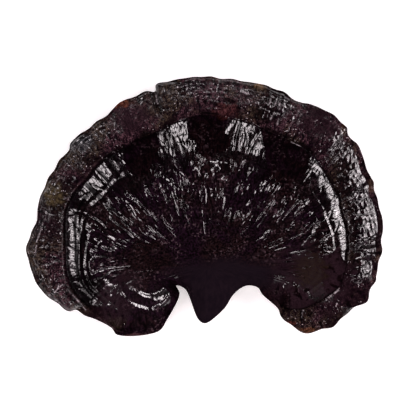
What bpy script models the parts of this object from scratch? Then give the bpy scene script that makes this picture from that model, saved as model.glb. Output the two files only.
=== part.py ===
"""A black reishi mushroom that lies on its flat pore face.

The whole fungus is one grown, woody body: a kidney-shaped cap on a short stem that was sliced off its log
at a slant. Metres, +Z up. The lacquered upper face looks along +Z and the stem points along -Y. The origin
is at the middle of the bounding box's base.

Seen from above, the body is laid out along growth paths. Each path starts on a small root ellipse behind
the stem and ends at the margin, so the rings and folds of growth follow the same grid as in nature.
"""

import math

import bmesh
import bpy
import numpy as np

MM = 0.001

# --------------------------------------------------------------------------------------------------
# Plan: the margin, seen from above and anticlockwise from the stem's tip, with one station at each corner
# and bend. Each station is (x, y, width of the rim band there), in millimetres.
# --------------------------------------------------------------------------------------------------
STEM_RIGHT_SIDE = ((0.5, -52.0, 2), (9.0, -45.5, 2), (12.5, -40.0, 2), (16.5, -36.5, 2))
RIGHT_NOTCH = ((20.0, -35.5, 2), (24.0, -36.5, 2), (26.0, -39.5, 2))
RIGHT_LOBE = (
    (33.0, -46.0, 4), (34.5, -49.5, 5), (46.0, -57.0, 11), (52.5, -55.0, 12.5), (57.5, -54.0, 13),
    (65.5, -46.5, 13), (73.0, -42.5, 14), (74.5, -37.0, 14.5), (77.0, -33.5, 15), (77.0, -31.0, 15),
)
RIGHT_MARGIN = (
    (79.5, -20.0, 16), (79.5, -15.5, 16.5), (80.0, -7.0, 17), (76.5, 6.5, 18), (76.0, 10.5, 18),
    (74.5, 12.5, 18), (68.5, 27.5, 18.5), (64.0, 32.0, 19), (63.5, 35.0, 19.5), (57.0, 41.0, 19),
)
FAR_MARGIN = (
    (47.5, 45.5, 18.5), (43.5, 46.0, 18), (34.0, 51.5, 18.6), (25.0, 54.5, 18), (-2.0, 58.0, 17),
    (-6.5, 57.5, 17.2), (-21.5, 54.0, 19.2), (-22.0, 51.5, 17.7), (-25.5, 51.5, 18.2), (-29.5, 49.5, 18.9),
    (-37.5, 46.5, 18.2), (-41.5, 42.5, 17),
)
LEFT_MARGIN = (
    (-60.0, 28.0, 15.5), (-60.5, 25.5, 15.5), (-66.0, 18.5, 14.4), (-73.5, 3.5, 12.6),
    (-75.5, -8.0, 14.6), (-79.5, -18.5, 17.6), (-73.5, -37.0, 13.4), (-69.0, -41.0, 11),
    (-60.5, -47.0, 8),
)
LEFT_LOBE = (
    (-57.5, -46.5, 6), (-53.5, -49.0, 4), (-49.0, -50.5, 3), (-41.5, -54.5, 2), (-39.0, -57.5, 2),
    (-20.5, -56.0, 2), (-16.5, -50.5, 2), (-11.0, -39.0, 2),
)
LEFT_NOTCH = ((-12.5, -35.5, 2),)
STEM_LEFT_SIDE = ((-8.5, -37.0, 2), (-2.5, -50.5, 2))
MARGIN = np.array(
    STEM_RIGHT_SIDE + RIGHT_NOTCH + RIGHT_LOBE + RIGHT_MARGIN + FAR_MARGIN + LEFT_MARGIN + LEFT_LOBE
    + LEFT_NOTCH + STEM_LEFT_SIDE, float,
)

# Growth paths start on this ellipse, which is itself filled from its centre, the oldest point of the cap.
ROOT_CENTRE = np.array((1.8, -26.0))
ROOT_HALF_WIDTH = 36.7
ROOT_HALF_DEPTH = 6.3
ROOT_SHARE = 0.22  # of each path: the stretch over which the body spreads from the centre to the ellipse
# (margin station, angle round the root ellipse in degrees) where a growth path ends and starts.
ROOT_ANGLES = (
    (0, -90), (2, -76), (4, -62), (6, -48), (7, -34), (8, -29), (9, -19), (11, -11), (14, 2), (19, 34),
    (24, 62), (30, 84), (31, 90), (34, 100), (40, 121), (42, 136), (44, 158), (47, 182), (52, 205),
    (53, 218), (54, 226), (55, 231), (56, 242), (57, 256), (58, 263), (59, 270),
)

# Small lobes that ripple the margin: (number round the cap, reach in mm, phase in radians).
MARGIN_RIPPLES = ((43, 0.20, 0.4), (59, 0.15, 2.1))

# --------------------------------------------------------------------------------------------------
# Heights above the pore face, in millimetres.
# --------------------------------------------------------------------------------------------------
MARGIN_HEIGHT = 4.8  # the margin's outermost line
MARGIN_WAVES = ((3, 0.5, 1.0), (5, 0.4, 2.6), (9, 0.25, 0.7))  # (number round the cap, mm, phase)
BAND_HEIGHT = 8.9  # the rim band, beside the furrow and at its outer edge
BAND_SWELL = 1.5  # how far the band's back stands above that
SHOULDER_RISE = (1.5, 3.4)  # the step from the furrow up to the disc, at the lobes and at the far side
SHOULDER_WIDTH = (7.5, 22.0)  # of that step
FURROW_DEPTH = (0.6, 0.25)  # at the lobes and at the far side
FURROW_HALF_WIDTH = 0.42
CROWN_HEIGHT = 18.0  # the middle of the cap, where the stem runs into it
DOME_POWER = 2.0  # 1 would make the disc a cone
ROOT_REACH = 22.0  # for the dome, the root ellipse counts as the geometric mean of this and its own reach
STEM_HEIGHT = 8.0  # the widest line of the stem's sides
STEM_RISE = 1.8  # how far the stem's back stands above the band's height
CAP_EDGE_RADIUS = 4.8  # rounding of the upper edge
STEM_EDGE_RADIUS = 6.5
UNDER_EDGE_RADIUS = 6.5  # rounding of the lower edge, inside which the pore face is flat
STEM_CENTRE = np.array((3.0, -43.0))
STEM_REACH = (9.0, 21.0)  # distances from STEM_CENTRE between which stem turns into cap

# Raised rings of growth: (share of the way from centre to furrow, height at the lobes and height at the
# far side in mm, half-width as such a share).
DISC_RINGS = (
    (0.765, 0.38, 0.05, 0.022), (0.655, 0.35, 0.07, 0.022),
    (0.52, 0.20, 0.10, 0.03), (0.38, 0.15, 0.10, 0.03),
)
# Broad radial folds: (number round the cap, height in mm, phase in radians).
RADIAL_FOLDS = ((5, 0.30, 0.3), (9, 0.15, 1.9))
# Radial creases that split the band: (x and y where it meets the margin, depth, half-width), in mm.
CREASES = (
    (74.5, -37.0, 0.7, 1.8), (79.5, -16.0, 1.0, 1.8), (75.0, 12.0, 1.0, 1.8), (64.0, 33.5, 1.0, 1.8),
    (45.0, 45.5, 0.8, 1.8), (-22.0, 51.5, 1.8, 1.6), (-41.0, 43.0, 0.5, 1.8), (-60.5, 25.5, 0.7, 1.8),
    (-74.5, 0.0, 0.6, 1.8), (-57.5, -46.5, 1.5, 1.8),
)

# The right side's band thins towards its margin: over this width, and by this share of its height.
TAPER_WIDTH = 15.0
TAPER = 0.85

# The slanted slice through the stem: it leaves the tip at this height and falls backwards to the pore face.
CUT_HEIGHT_AT_TIP = 9.0
CUT_SLOPE = 0.62
CUT_MARGIN = 0.4  # how far the uncut stem's edge stands above the slice
CUT_STATIONS = (56.4, 4.5)  # the slice stays on the growth paths from the first station round to the second

# --------------------------------------------------------------------------------------------------
# Mesh: rings from the crown out over the upper face, round the margin and back under the pore face.
# --------------------------------------------------------------------------------------------------
COLUMNS = 128
DISC_SHARES = (
    0.07, 0.15, 0.24, 0.32, 0.38, 0.44, 0.48, 0.52, 0.56, 0.60, 0.632, 0.655, 0.678, 0.71, 0.742, 0.765,
    0.788, 0.83, 0.87, 0.91, 0.95, 0.98, 1.0,
)  # from the centre to the furrow
BAND_SHARES = (0.94, 0.80, 0.60, 0.42, 0.27, 0.15, 0.065, 0.0)  # from the furrow to the margin
UNDER_BAND_SHARES = (0.02, 0.08, 0.18, 0.30, 0.45, 1.0)
UNDER_DISC_SHARES = (0.50,)
SMOOTHING = 1 / 60  # of a turn: creases and ripples in the margin fade this quickly towards the disc

CRUST_COLOUR = (0.013, 0.007, 0.009, 1.0)
CRUST_ROUGHNESS = 0.25


def periodic(values, stations):
    """Values at fractional stations, on a closed smooth curve with knots the root of a chord apart."""
    count = len(values)
    ahead = np.roll(values, -1, axis=0) - values
    gap = np.hypot(ahead[:, 0], ahead[:, 1]) ** 0.5
    behind, gap_behind = np.roll(ahead, 1, axis=0), np.roll(gap, 1)
    slope = (
        ahead / gap[:, None] * gap_behind[:, None] + behind / gap_behind[:, None] * gap[:, None]
    ) / (gap + gap_behind)[:, None]
    start = np.floor(stations).astype(int) % count
    end = (start + 1) % count
    f = (stations - np.floor(stations))[:, None]
    span = gap[start][:, None]
    return (
        values[start] * (1 + 2 * f) * (1 - f) ** 2
        + values[end] * f**2 * (3 - 2 * f)
        + slope[start] * span * f * (1 - f) ** 2
        - slope[end] * span * f**2 * (1 - f)
    )


def even_stations(count):
    """Fractional stations of the columns, which are closer together where the margin turns quickly."""
    ahead = np.roll(MARGIN, -1, axis=0) - MARGIN
    gap = np.hypot(ahead[:, 0], ahead[:, 1]) ** 0.5
    knots = np.concatenate(([0.0], np.cumsum(gap)))
    return np.interp(np.arange(count) / count * knots[-1], knots, np.arange(len(MARGIN) + 1))


def smoothed(values, reach):
    """Values round the cap, each averaged with its neighbours up to reach columns away."""
    return sum(np.roll(values, k, axis=0) for k in range(-reach, reach + 1)) / (2 * reach + 1)


def travelled(line):
    """The way travelled round a closed line at each of its points, and last the whole way round."""
    steps = np.roll(line, -1, axis=0) - line
    return np.concatenate(([0.0], np.cumsum(np.hypot(steps[:, 0], steps[:, 1]))))


def smooth_step(low, high, x):
    """0 below low, 1 above high, and an S-curve between them."""
    t = np.clip((x - low) / (high - low), 0.0, 1.0)
    return t * t * (3 - 2 * t)


def bump(x, middle, half_width):
    """A ridge of height 1 at middle."""
    return np.exp(-(((x - middle) / half_width) ** 2))


def waves(table, turn):
    """The sum of a table of (number round the cap, height, phase) waves, where turn runs from 0 to 1."""
    return sum(height * np.sin(2 * math.pi * number * turn + phase) for number, height, phase in table)


def edge_distance(points, outline):
    """Each point's distance to the closed outline."""
    start, along = outline, np.roll(outline, -1, axis=0) - outline
    offset = points[..., None, :] - start
    share = np.clip((offset * along).sum(-1) / (along**2).sum(-1), 0.0, 1.0)
    return np.sqrt(((offset - share[..., None] * along) ** 2).sum(-1).min(-1))


def rounding(distance, radius):
    """A quarter-round edge: 0 at the margin, rising to 1 at radius."""
    t = np.clip(distance / radius, 0.0, 1.0)
    return np.sqrt(1 - (1 - t) ** 2)


class Plan:
    """The growth grid seen from above, and the quantities round the cap that the heights depend on."""

    def __init__(self, columns):
        reach = max(1, round(columns * SMOOTHING))
        self.stations = even_stations(columns)
        margin = periodic(MARGIN, self.stations)
        way = travelled(margin[:, :2])
        self.turn = way[:-1] / way[-1]
        angles = np.interp(self.stations, *zip(*ROOT_ANGLES))
        angles = np.radians(smoothed(angles - 360 * self.turn, reach) + 360 * self.turn)
        self.root = ROOT_CENTRE + np.stack(
            (ROOT_HALF_WIDTH * np.cos(angles), ROOT_HALF_DEPTH * np.sin(angles)), axis=1
        )
        inward = self.root - ROOT_CENTRE
        self.root_distance = np.hypot(inward[:, 0], inward[:, 1])
        self.near_root = np.clip(-inward[:, 1] / ROOT_HALF_DEPTH, 0.0, 1.0)
        outward = margin[:, :2] - self.root
        length = np.hypot(outward[:, 0], outward[:, 1])
        self.on_cap = smooth_step(2.2, 6.0, margin[:, 2])
        self.direction = outward / length[:, None]
        self.length = length + waves(MARGIN_RIPPLES, self.turn) * self.on_cap
        furrow_at = smoothed(length - margin[:, 2], reach)
        self.band = np.clip(self.length - furrow_at, 0.3 * margin[:, 2], 0.8 * self.length)
        self.furrow = 1 - self.band / self.length
        self.outline = self.root + self.length[:, None] * self.direction
        x, y = self.outline.T
        self.far_side = smooth_step(-10.0, 60.0, y)  # 1 at the far margin, 0 at the lobes
        self.right_lobe = smooth_step(10.0, 40.0, x) * smooth_step(-30.0, -48.0, y)
        self.left_lobe = smooth_step(-56.0, -44.0, x) * smooth_step(-8.0, -12.0, x)
        self.left_lobe *= smooth_step(-34.0, -44.0, y)
        self.right_side = smooth_step(45.0, 68.0, x) * smooth_step(-54.0, -38.0, y)
        self.right_side *= smooth_step(44.0, 26.0, y)

    def spread(self, share):
        """How far the root ellipse is reached, from 0 at the centre to 1."""
        return 1 - (1 - np.clip(share / ROOT_SHARE, 0.0, 1.0)) ** 2

    def points(self, share):
        """Points at a share of each growth path, 0 at the centre and 1 at the margin."""
        return (
            ROOT_CENTRE
            + self.spread(share)[..., None] * (self.root - ROOT_CENTRE)
            + (share * self.length)[..., None] * self.direction
        )

    def from_crown(self, share):
        """The way out from the crown as a share of the way to the furrow.

        The root ellipse doesn't count for its own reach, so that the dome falls evenly to all sides.
        """
        reach = np.sqrt(ROOT_REACH * self.root_distance) * (1 - 0.7 * self.near_root)
        return (self.spread(share) * reach + share * self.length) / (reach + self.furrow * self.length)

    def by_side(self, pair):
        """A quantity given as (at the lobes, at the far side), for every column."""
        return pair[0] + (pair[1] - pair[0]) * self.far_side


def crease_depth(plan, band_share):
    """How deep the radial creases cut the rim band."""
    depth = np.zeros_like(band_share)
    for x, y, deepest, half_width in CREASES:
        away = np.hypot(plan.outline[:, 0] - x, plan.outline[:, 1] - y)
        depth += deepest * bump(away, 0.0, half_width)
    return depth * smooth_step(1.05, 0.5, band_share)


def upper_height(plan, share, points):
    """The height of the lacquered upper face."""
    from_margin = (1 - share) * plan.length
    inside_furrow = from_margin - plan.band
    band_share = np.clip(from_margin / plan.band, 0.0, 1.3)
    disc_share = share / plan.furrow
    rise = plan.on_cap * plan.by_side(SHOULDER_RISE)
    swell = BAND_SWELL * np.sin(math.pi * np.clip(band_share, 0.0, 1.0) ** 1.5)
    swell = np.where(inside_furrow < 0, swell, 0.0)

    stem = stem_share(points)
    on_stem = STEM_RISE * stem
    furrow = plan.by_side(FURROW_DEPTH) * bump(inside_furrow, 0.0, FURROW_HALF_WIDTH)
    height = BAND_HEIGHT + on_stem + plan.on_cap * (swell - furrow)
    up_shoulder = np.clip(inside_furrow / plan.by_side(SHOULDER_WIDTH), 0.0, 1.0)
    height += rise * (1 - (1 - up_shoulder) ** 2)
    dome = 1 - np.clip(plan.from_crown(share), 0.0, 1.0) ** DOME_POWER
    height += (CROWN_HEIGHT - BAND_HEIGHT - on_stem - rise) * dome

    off_stem = (1 - stem) * smooth_step(6.0, 16.0, plan.length)
    off_stem *= (1 - 0.65 * plan.right_lobe) * (1 - 0.85 * plan.left_lobe)
    for middle, at_lobes, at_far_side, half_width in DISC_RINGS:
        height += off_stem * plan.by_side((at_lobes, at_far_side)) * bump(disc_share, middle, half_width)
    height += off_stem * waves(RADIAL_FOLDS, plan.turn) * smooth_step(0.3, 0.8, share)
    height -= crease_depth(plan, band_share)

    edge = margin_height(plan, stem, points)
    radius = CAP_EDGE_RADIUS + (STEM_EDGE_RADIUS - CAP_EDGE_RADIUS) * stem
    thinned = 1 - TAPER * plan.right_side * (1 - np.clip(from_margin / TAPER_WIDTH, 0.0, 1.0)) ** 1.5
    return edge + (height - edge) * thinned * rounding(edge_distance(points, plan.outline), radius)


def lower_height(plan, points):
    """The height of the underside: rounded at the margin, and flat where the pores open."""
    edge = margin_height(plan, stem_share(points), points)
    return edge * (1 - rounding(edge_distance(points, plan.outline), UNDER_EDGE_RADIUS))


def stem_share(points):
    """1 on the stem and 0 on the cap."""
    away = np.hypot(points[..., 0] - STEM_CENTRE[0], points[..., 1] - STEM_CENTRE[1])
    return 1 - smooth_step(*STEM_REACH, away)


def margin_height(plan, stem, points):
    """The height of the line where the upper and lower faces meet."""
    cap = MARGIN_HEIGHT + waves(MARGIN_WAVES, plan.turn) * plan.on_cap
    edge = cap + (STEM_HEIGHT - cap) * stem
    cut = CUT_HEIGHT_AT_TIP - CUT_SLOPE * (points[..., 1] - MARGIN[0, 1])
    return np.where(stem > 0, np.maximum(edge, cut + CUT_MARGIN), edge)


def body_rings(plan):
    """The rings of the body from the crown to the pore face, in the plan's own millimetres."""
    furrow = plan.furrow
    upper = [furrow * share for share in DISC_SHARES]
    upper += [1 - (1 - furrow) * share for share in BAND_SHARES]
    lower = [1 - (1 - furrow) * share for share in UNDER_BAND_SHARES]
    lower += [furrow * share for share in UNDER_DISC_SHARES]
    upper, lower = np.array(upper), np.array(lower)
    top, below = plan.points(upper), plan.points(lower)
    return np.concatenate((
        np.dstack((top, upper_height(plan, upper, top))),
        np.dstack((below, lower_height(plan, below))),
    ))


def slice_stem(mesh, stem_vertices, tip):
    """Cuts the stem off at a slant through the tip and closes it with one flat face."""
    stem_faces = [face for face in mesh.faces if stem_vertices.issuperset(face.verts)]
    geometry = set(stem_faces)
    for face in stem_faces:
        geometry.update(face.edges, face.verts)
    cut = bmesh.ops.bisect_plane(
        mesh, geom=list(geometry), dist=1e-7, plane_co=tip, plane_no=(0.0, -CUT_SLOPE, -1.0),
        clear_outer=True,
    )
    edges = [item for item in cut["geom_cut"] if isinstance(item, bmesh.types.BMEdge)]
    bmesh.ops.contextual_create(mesh, geom=edges)


def make_body(collection):
    """The mushroom: a sphere's rings and columns moved onto the body's own, then sliced at the stem."""
    plan = Plan(COLUMNS)
    rings = body_rings(plan)
    middle = np.array((*(plan.outline.min(axis=0) + plan.outline.max(axis=0)) / 2, 0.0))
    on_stem = (plan.stations > CUT_STATIONS[0]) | (plan.stations < CUT_STATIONS[1])
    stem_vertices = set()
    bands = len(rings) + 1
    mesh = bmesh.new()
    bmesh.ops.create_uvsphere(mesh, u_segments=COLUMNS, v_segments=bands, radius=1.0)
    for vertex in mesh.verts:
        x, y, z = vertex.co
        ring = round(math.acos(max(-1.0, min(1.0, z))) / math.pi * bands)
        column = round(math.atan2(y, x) / (2 * math.pi) * COLUMNS) % COLUMNS
        is_pole = ring in (0, bands)
        if is_pole:
            place = np.array((*ROOT_CENTRE, CROWN_HEIGHT if ring == 0 else 0.0))
        else:
            place = rings[ring - 1, column]
        if is_pole or on_stem[column]:
            stem_vertices.add(vertex)
        vertex.co = (place - middle) * MM
    slice_stem(mesh, stem_vertices, (np.array((*MARGIN[0, :2], CUT_HEIGHT_AT_TIP)) - middle) * MM)
    bmesh.ops.recalc_face_normals(mesh, faces=mesh.faces[:])

    data = bpy.data.meshes.new("mushroom")
    mesh.to_mesh(data)
    mesh.free()
    data.shade_smooth()
    data.set_sharp_from_angle(angle=math.radians(50))
    body = bpy.data.objects.new("mushroom", data)
    body.data.materials.append(crust())
    collection.objects.link(body)


def crust():
    """The black lacquered skin."""
    material = bpy.data.materials.new("black_crust")
    material.use_nodes = True
    shader = material.node_tree.nodes["Principled BSDF"]
    shader.inputs["Base Color"].default_value = CRUST_COLOUR
    shader.inputs["Roughness"].default_value = CRUST_ROUGHNESS
    shader.inputs["Metallic"].default_value = 0.0
    return material


def main():
    for old in list(bpy.data.objects):
        bpy.data.objects.remove(old)
    collection = bpy.data.collections.new("reishi_mushroom")
    bpy.context.scene.collection.children.link(collection)
    make_body(collection)


main()
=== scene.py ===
"""The looks of a black reishi mushroom: its wrinkled lacquered skin, its finishes and a white studio.

The fungus grew as one piece, so one fine mesh stands for the one solid node. Its shape is worked out in
millimetres on a growth plan: paths that start on a small root ellipse behind the stem and end at the
margin. The plan and the large heights are the solid's own. On them lie the folds, wrinkles, fine rings and
cracks.
"""

from __future__ import annotations

import logging
import math
from dataclasses import dataclass, field, replace
from enum import Enum

import bpy
import numpy as np
import numpy.typing as npt
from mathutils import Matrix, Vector

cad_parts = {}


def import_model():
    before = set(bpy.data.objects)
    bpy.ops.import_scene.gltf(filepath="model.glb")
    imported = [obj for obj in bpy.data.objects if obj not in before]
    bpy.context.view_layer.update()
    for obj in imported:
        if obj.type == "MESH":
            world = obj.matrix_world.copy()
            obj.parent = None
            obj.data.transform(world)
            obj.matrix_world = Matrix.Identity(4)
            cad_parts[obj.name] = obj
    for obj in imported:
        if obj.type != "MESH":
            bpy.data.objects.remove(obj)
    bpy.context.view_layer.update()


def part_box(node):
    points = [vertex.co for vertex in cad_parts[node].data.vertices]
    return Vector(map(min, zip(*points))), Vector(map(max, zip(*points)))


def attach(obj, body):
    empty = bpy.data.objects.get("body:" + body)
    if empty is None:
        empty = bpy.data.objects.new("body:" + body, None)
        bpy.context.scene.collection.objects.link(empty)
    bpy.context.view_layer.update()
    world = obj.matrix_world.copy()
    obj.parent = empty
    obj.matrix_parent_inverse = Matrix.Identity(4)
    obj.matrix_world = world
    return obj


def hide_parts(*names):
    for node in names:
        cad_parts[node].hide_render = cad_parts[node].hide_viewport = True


Array = npt.NDArray[np.float64]
Colour = tuple[float, float, float]
Span = tuple[float, float]
Triple = tuple[float, float, float]
Station = Triple  # (x, y, width of the rim band) on the margin, in millimetres
Wave = tuple[int, float, float]  # (number round the cap, height, phase) of a sine
Socket = bpy.types.NodeSocket

LOG = logging.getLogger("reishi")
MM = 0.001
NODE = "mushroom"
BODY = "root"
STORED_AS = {"FLOAT": "value", "FLOAT_VECTOR": "vector", "FLOAT_COLOR": "color"}  # in a mesh attribute


def smooth_step(low: float, high: float, x: Array) -> Array:
    """Returns 0 below low, 1 above high, and the S-curve 3t^2 - 2t^3 between them."""
    t = np.clip((x - low) / (high - low), 0.0, 1.0)
    return t * t * (3 - 2 * t)


def bump(x: Array, middle: float, half_width: float) -> Array:
    """Returns a ridge of height 1 at middle: the bell curve exp(-d^2) of the distance in half-widths."""
    return np.exp(-(((x - middle) / half_width) ** 2))


def smoothed(values: Array, reach: int) -> Array:
    """Returns values round the cap, each averaged with its neighbours up to reach columns away."""
    return sum(np.roll(values, k, axis=0) for k in range(-reach, reach + 1)) / (2 * reach + 1)


def waves(table: tuple[Wave, ...], turn: Array) -> Array:
    """Returns the sum of the table's sines at a turn round the cap, which runs from 0 to 1."""
    return sum(height * np.sin(2 * math.pi * number * turn + phase) for number, height, phase in table)


def rounding(distance: Array, radius: Array | float) -> Array:
    """Returns a quarter circle, the root of 1 - (1 - d/radius)^2: 0 at the margin and 1 at radius."""
    t = np.clip(distance / radius, 0.0, 1.0)
    return np.sqrt(1 - (1 - t) ** 2)


@dataclass(frozen=True)
class Grain:
    """Smooth seeded noise round the cap, in cells that may be far longer than they are wide.

    Attributes:
        width: Size of a cell round the cap, in millimetres at the furrow.
        length: Size of a cell along the growth paths, in millimetres.
        seed: Start of the random heights.
    """

    width: float
    length: float
    seed: int

    def __call__(self, around: Array, along: Array, girth: float) -> Array:
        """Samples the noise, which closes after one turn.

        Every lattice column holds random heights, and its own random start, so that neighbouring bumps are
        staggered. Heights are blended along a column, and then between two columns, with S-curves.

        Args:
            around: Position round the cap, from 0 to girth, in millimetres.
            along: Position along the growth path, in millimetres.
            girth: Length of one turn, in millimetres.

        Returns:
            Heights between -1 and 1.
        """
        columns = max(3, round(girth / self.width))
        rows = 64
        random = np.random.default_rng(self.seed)
        heights = random.uniform(-1, 1, (columns, rows))
        start = random.uniform(0, rows, columns)
        x = around / girth * columns
        left = np.floor(x).astype(int)
        across = smooth_step(0, 1, x - left)
        total = np.zeros(np.broadcast(around, along).shape)
        for side, weight in ((0, 1 - across), (1, across)):
            column = (left + side) % columns
            y = along / self.length + start[column]
            row = np.floor(y).astype(int)
            f = smooth_step(0, 1, y - row)
            low, high = heights[column, row % rows], heights[column, (row + 1) % rows]
            total += weight * (low * (1 - f) + high * f)
        return total

    def even(self, around: Array, along: Array, girth: float, crowding: Array) -> Array:
        """Samples the noise with cells that keep their width where the growth paths crowd together.

        Cells two, four and eight times as wide take over where the paths are that much closer together
        than at the furrow. Two neighbouring sizes are blended, and the sum is divided by the root of its
        squared weights.

        Args:
            around: Position round the cap, from 0 to girth, in millimetres at the furrow.
            along: Position along the growth path, in millimetres.
            girth: Length of one turn, in millimetres.
            crowding: The paths' distance from each other, as a share of that at the furrow.

        Returns:
            Heights between about -1 and 1.
        """
        octave = np.clip(-np.log2(crowding), 0, 3)
        total, squares = np.zeros_like(crowding), np.zeros_like(crowding)
        for step in range(4):
            weight = np.clip(1 - np.abs(octave - step), 0, 1)
            wider = replace(self, width=self.width * 2**step, seed=self.seed + 100 * step)
            total += weight * wider(around, along, girth)
            squares += weight**2
        return total / np.sqrt(squares)


@dataclass(frozen=True)
class Crackle:
    """A net of cracks between plates, as in dried lacquer.

    Attributes:
        width: Size of a plate round the cap, in millimetres.
        length: Size of a plate along the growth paths, in millimetres.
        jitter: How far a plate's middle strays, as a share of its size.
        crack: Width of a crack, in millimetres.
        seed: Start of the random places.
    """

    width: float
    length: float
    jitter: float
    crack: float
    seed: int

    def __call__(self, around: Array, along: Array, girth: float) -> Array:
        """Samples the cracks.

        Plate middles are lattice points moved at random. A point is in a crack where its nearest and its
        second nearest middle are equally far away.

        Args:
            around: Position round the cap, from 0 to girth, in millimetres.
            along: Position along the growth path, in millimetres.
            girth: Length of one turn, in millimetres.

        Returns:
            1 in the middle of a crack and 0 on a plate.
        """
        columns, rows = max(3, round(girth / self.width)), 48
        random = np.random.default_rng(self.seed)
        places = random.uniform(-self.jitter, self.jitter, (columns, rows, 2))
        x, y = around / girth * columns, along / self.length
        left, low = np.floor(x).astype(int), np.floor(y).astype(int)
        nearest = np.full(x.shape, 9.0)
        second = np.full(x.shape, 9.0)
        for i in (-1, 0, 1):
            for j in (-1, 0, 1):
                place = places[(left + i) % columns, (low + j) % rows]
                gap_x = (x - left - i - 0.5 - place[..., 0]) * self.width
                gap_y = (y - low - j - 0.5 - place[..., 1]) * self.length
                away = np.hypot(gap_x, gap_y)
                second = np.minimum(second, np.maximum(nearest, away))
                nearest = np.minimum(nearest, away)
        return 1 - smooth_step(0.0, 2 * self.crack, second - nearest)


@dataclass(frozen=True)
class Patch:
    """An oval place on the cap, seen from above, in millimetres.

    Attributes:
        x: Middle, across the cap.
        y: Middle, from the stem towards the far side.
        half_width: Half its size across the cap.
        half_depth: Half its size the other way.
        strength: Its value at the middle.
    """

    x: float
    y: float
    half_width: float
    half_depth: float
    strength: float = 1.0

    def __call__(self, points: Array, ragged: Array | float = 0.0) -> Array:
        """Samples the patch.

        Args:
            points: Where to sample it, seen from above.
            ragged: How far its soft edge is moved inwards, in half-sizes.

        Returns:
            Its strength inside the oval and 0 outside.
        """
        across = (points[..., 0] - self.x) / self.half_width
        away = np.hypot(across, (points[..., 1] - self.y) / self.half_depth)
        return self.strength * smooth_step(1.25, 0.6, away + ragged)


@dataclass(frozen=True)
class Stretch:
    """A stretch of one side of the cap, seen from above. Each limit is (0 here, 1 here), in millimetres.

    Attributes:
        across: Limit across the cap.
        near: Limit towards the stem.
        far: Limit towards the far side.
    """

    across: Span
    near: Span
    far: Span

    def __call__(self, points: Array, ragged: Array | float = 0.0) -> Array:
        """Samples the stretch.

        Args:
            points: Where to sample it, seen from above.
            ragged: How far its limits are moved, all but the near one, in millimetres.

        Returns:
            1 on the stretch and 0 off it.
        """
        x, y = points[..., 0], points[..., 1]
        across = smooth_step(*self.across, x + ragged)
        return across * smooth_step(*self.near, y) * smooth_step(*self.far, y + ragged)


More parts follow.
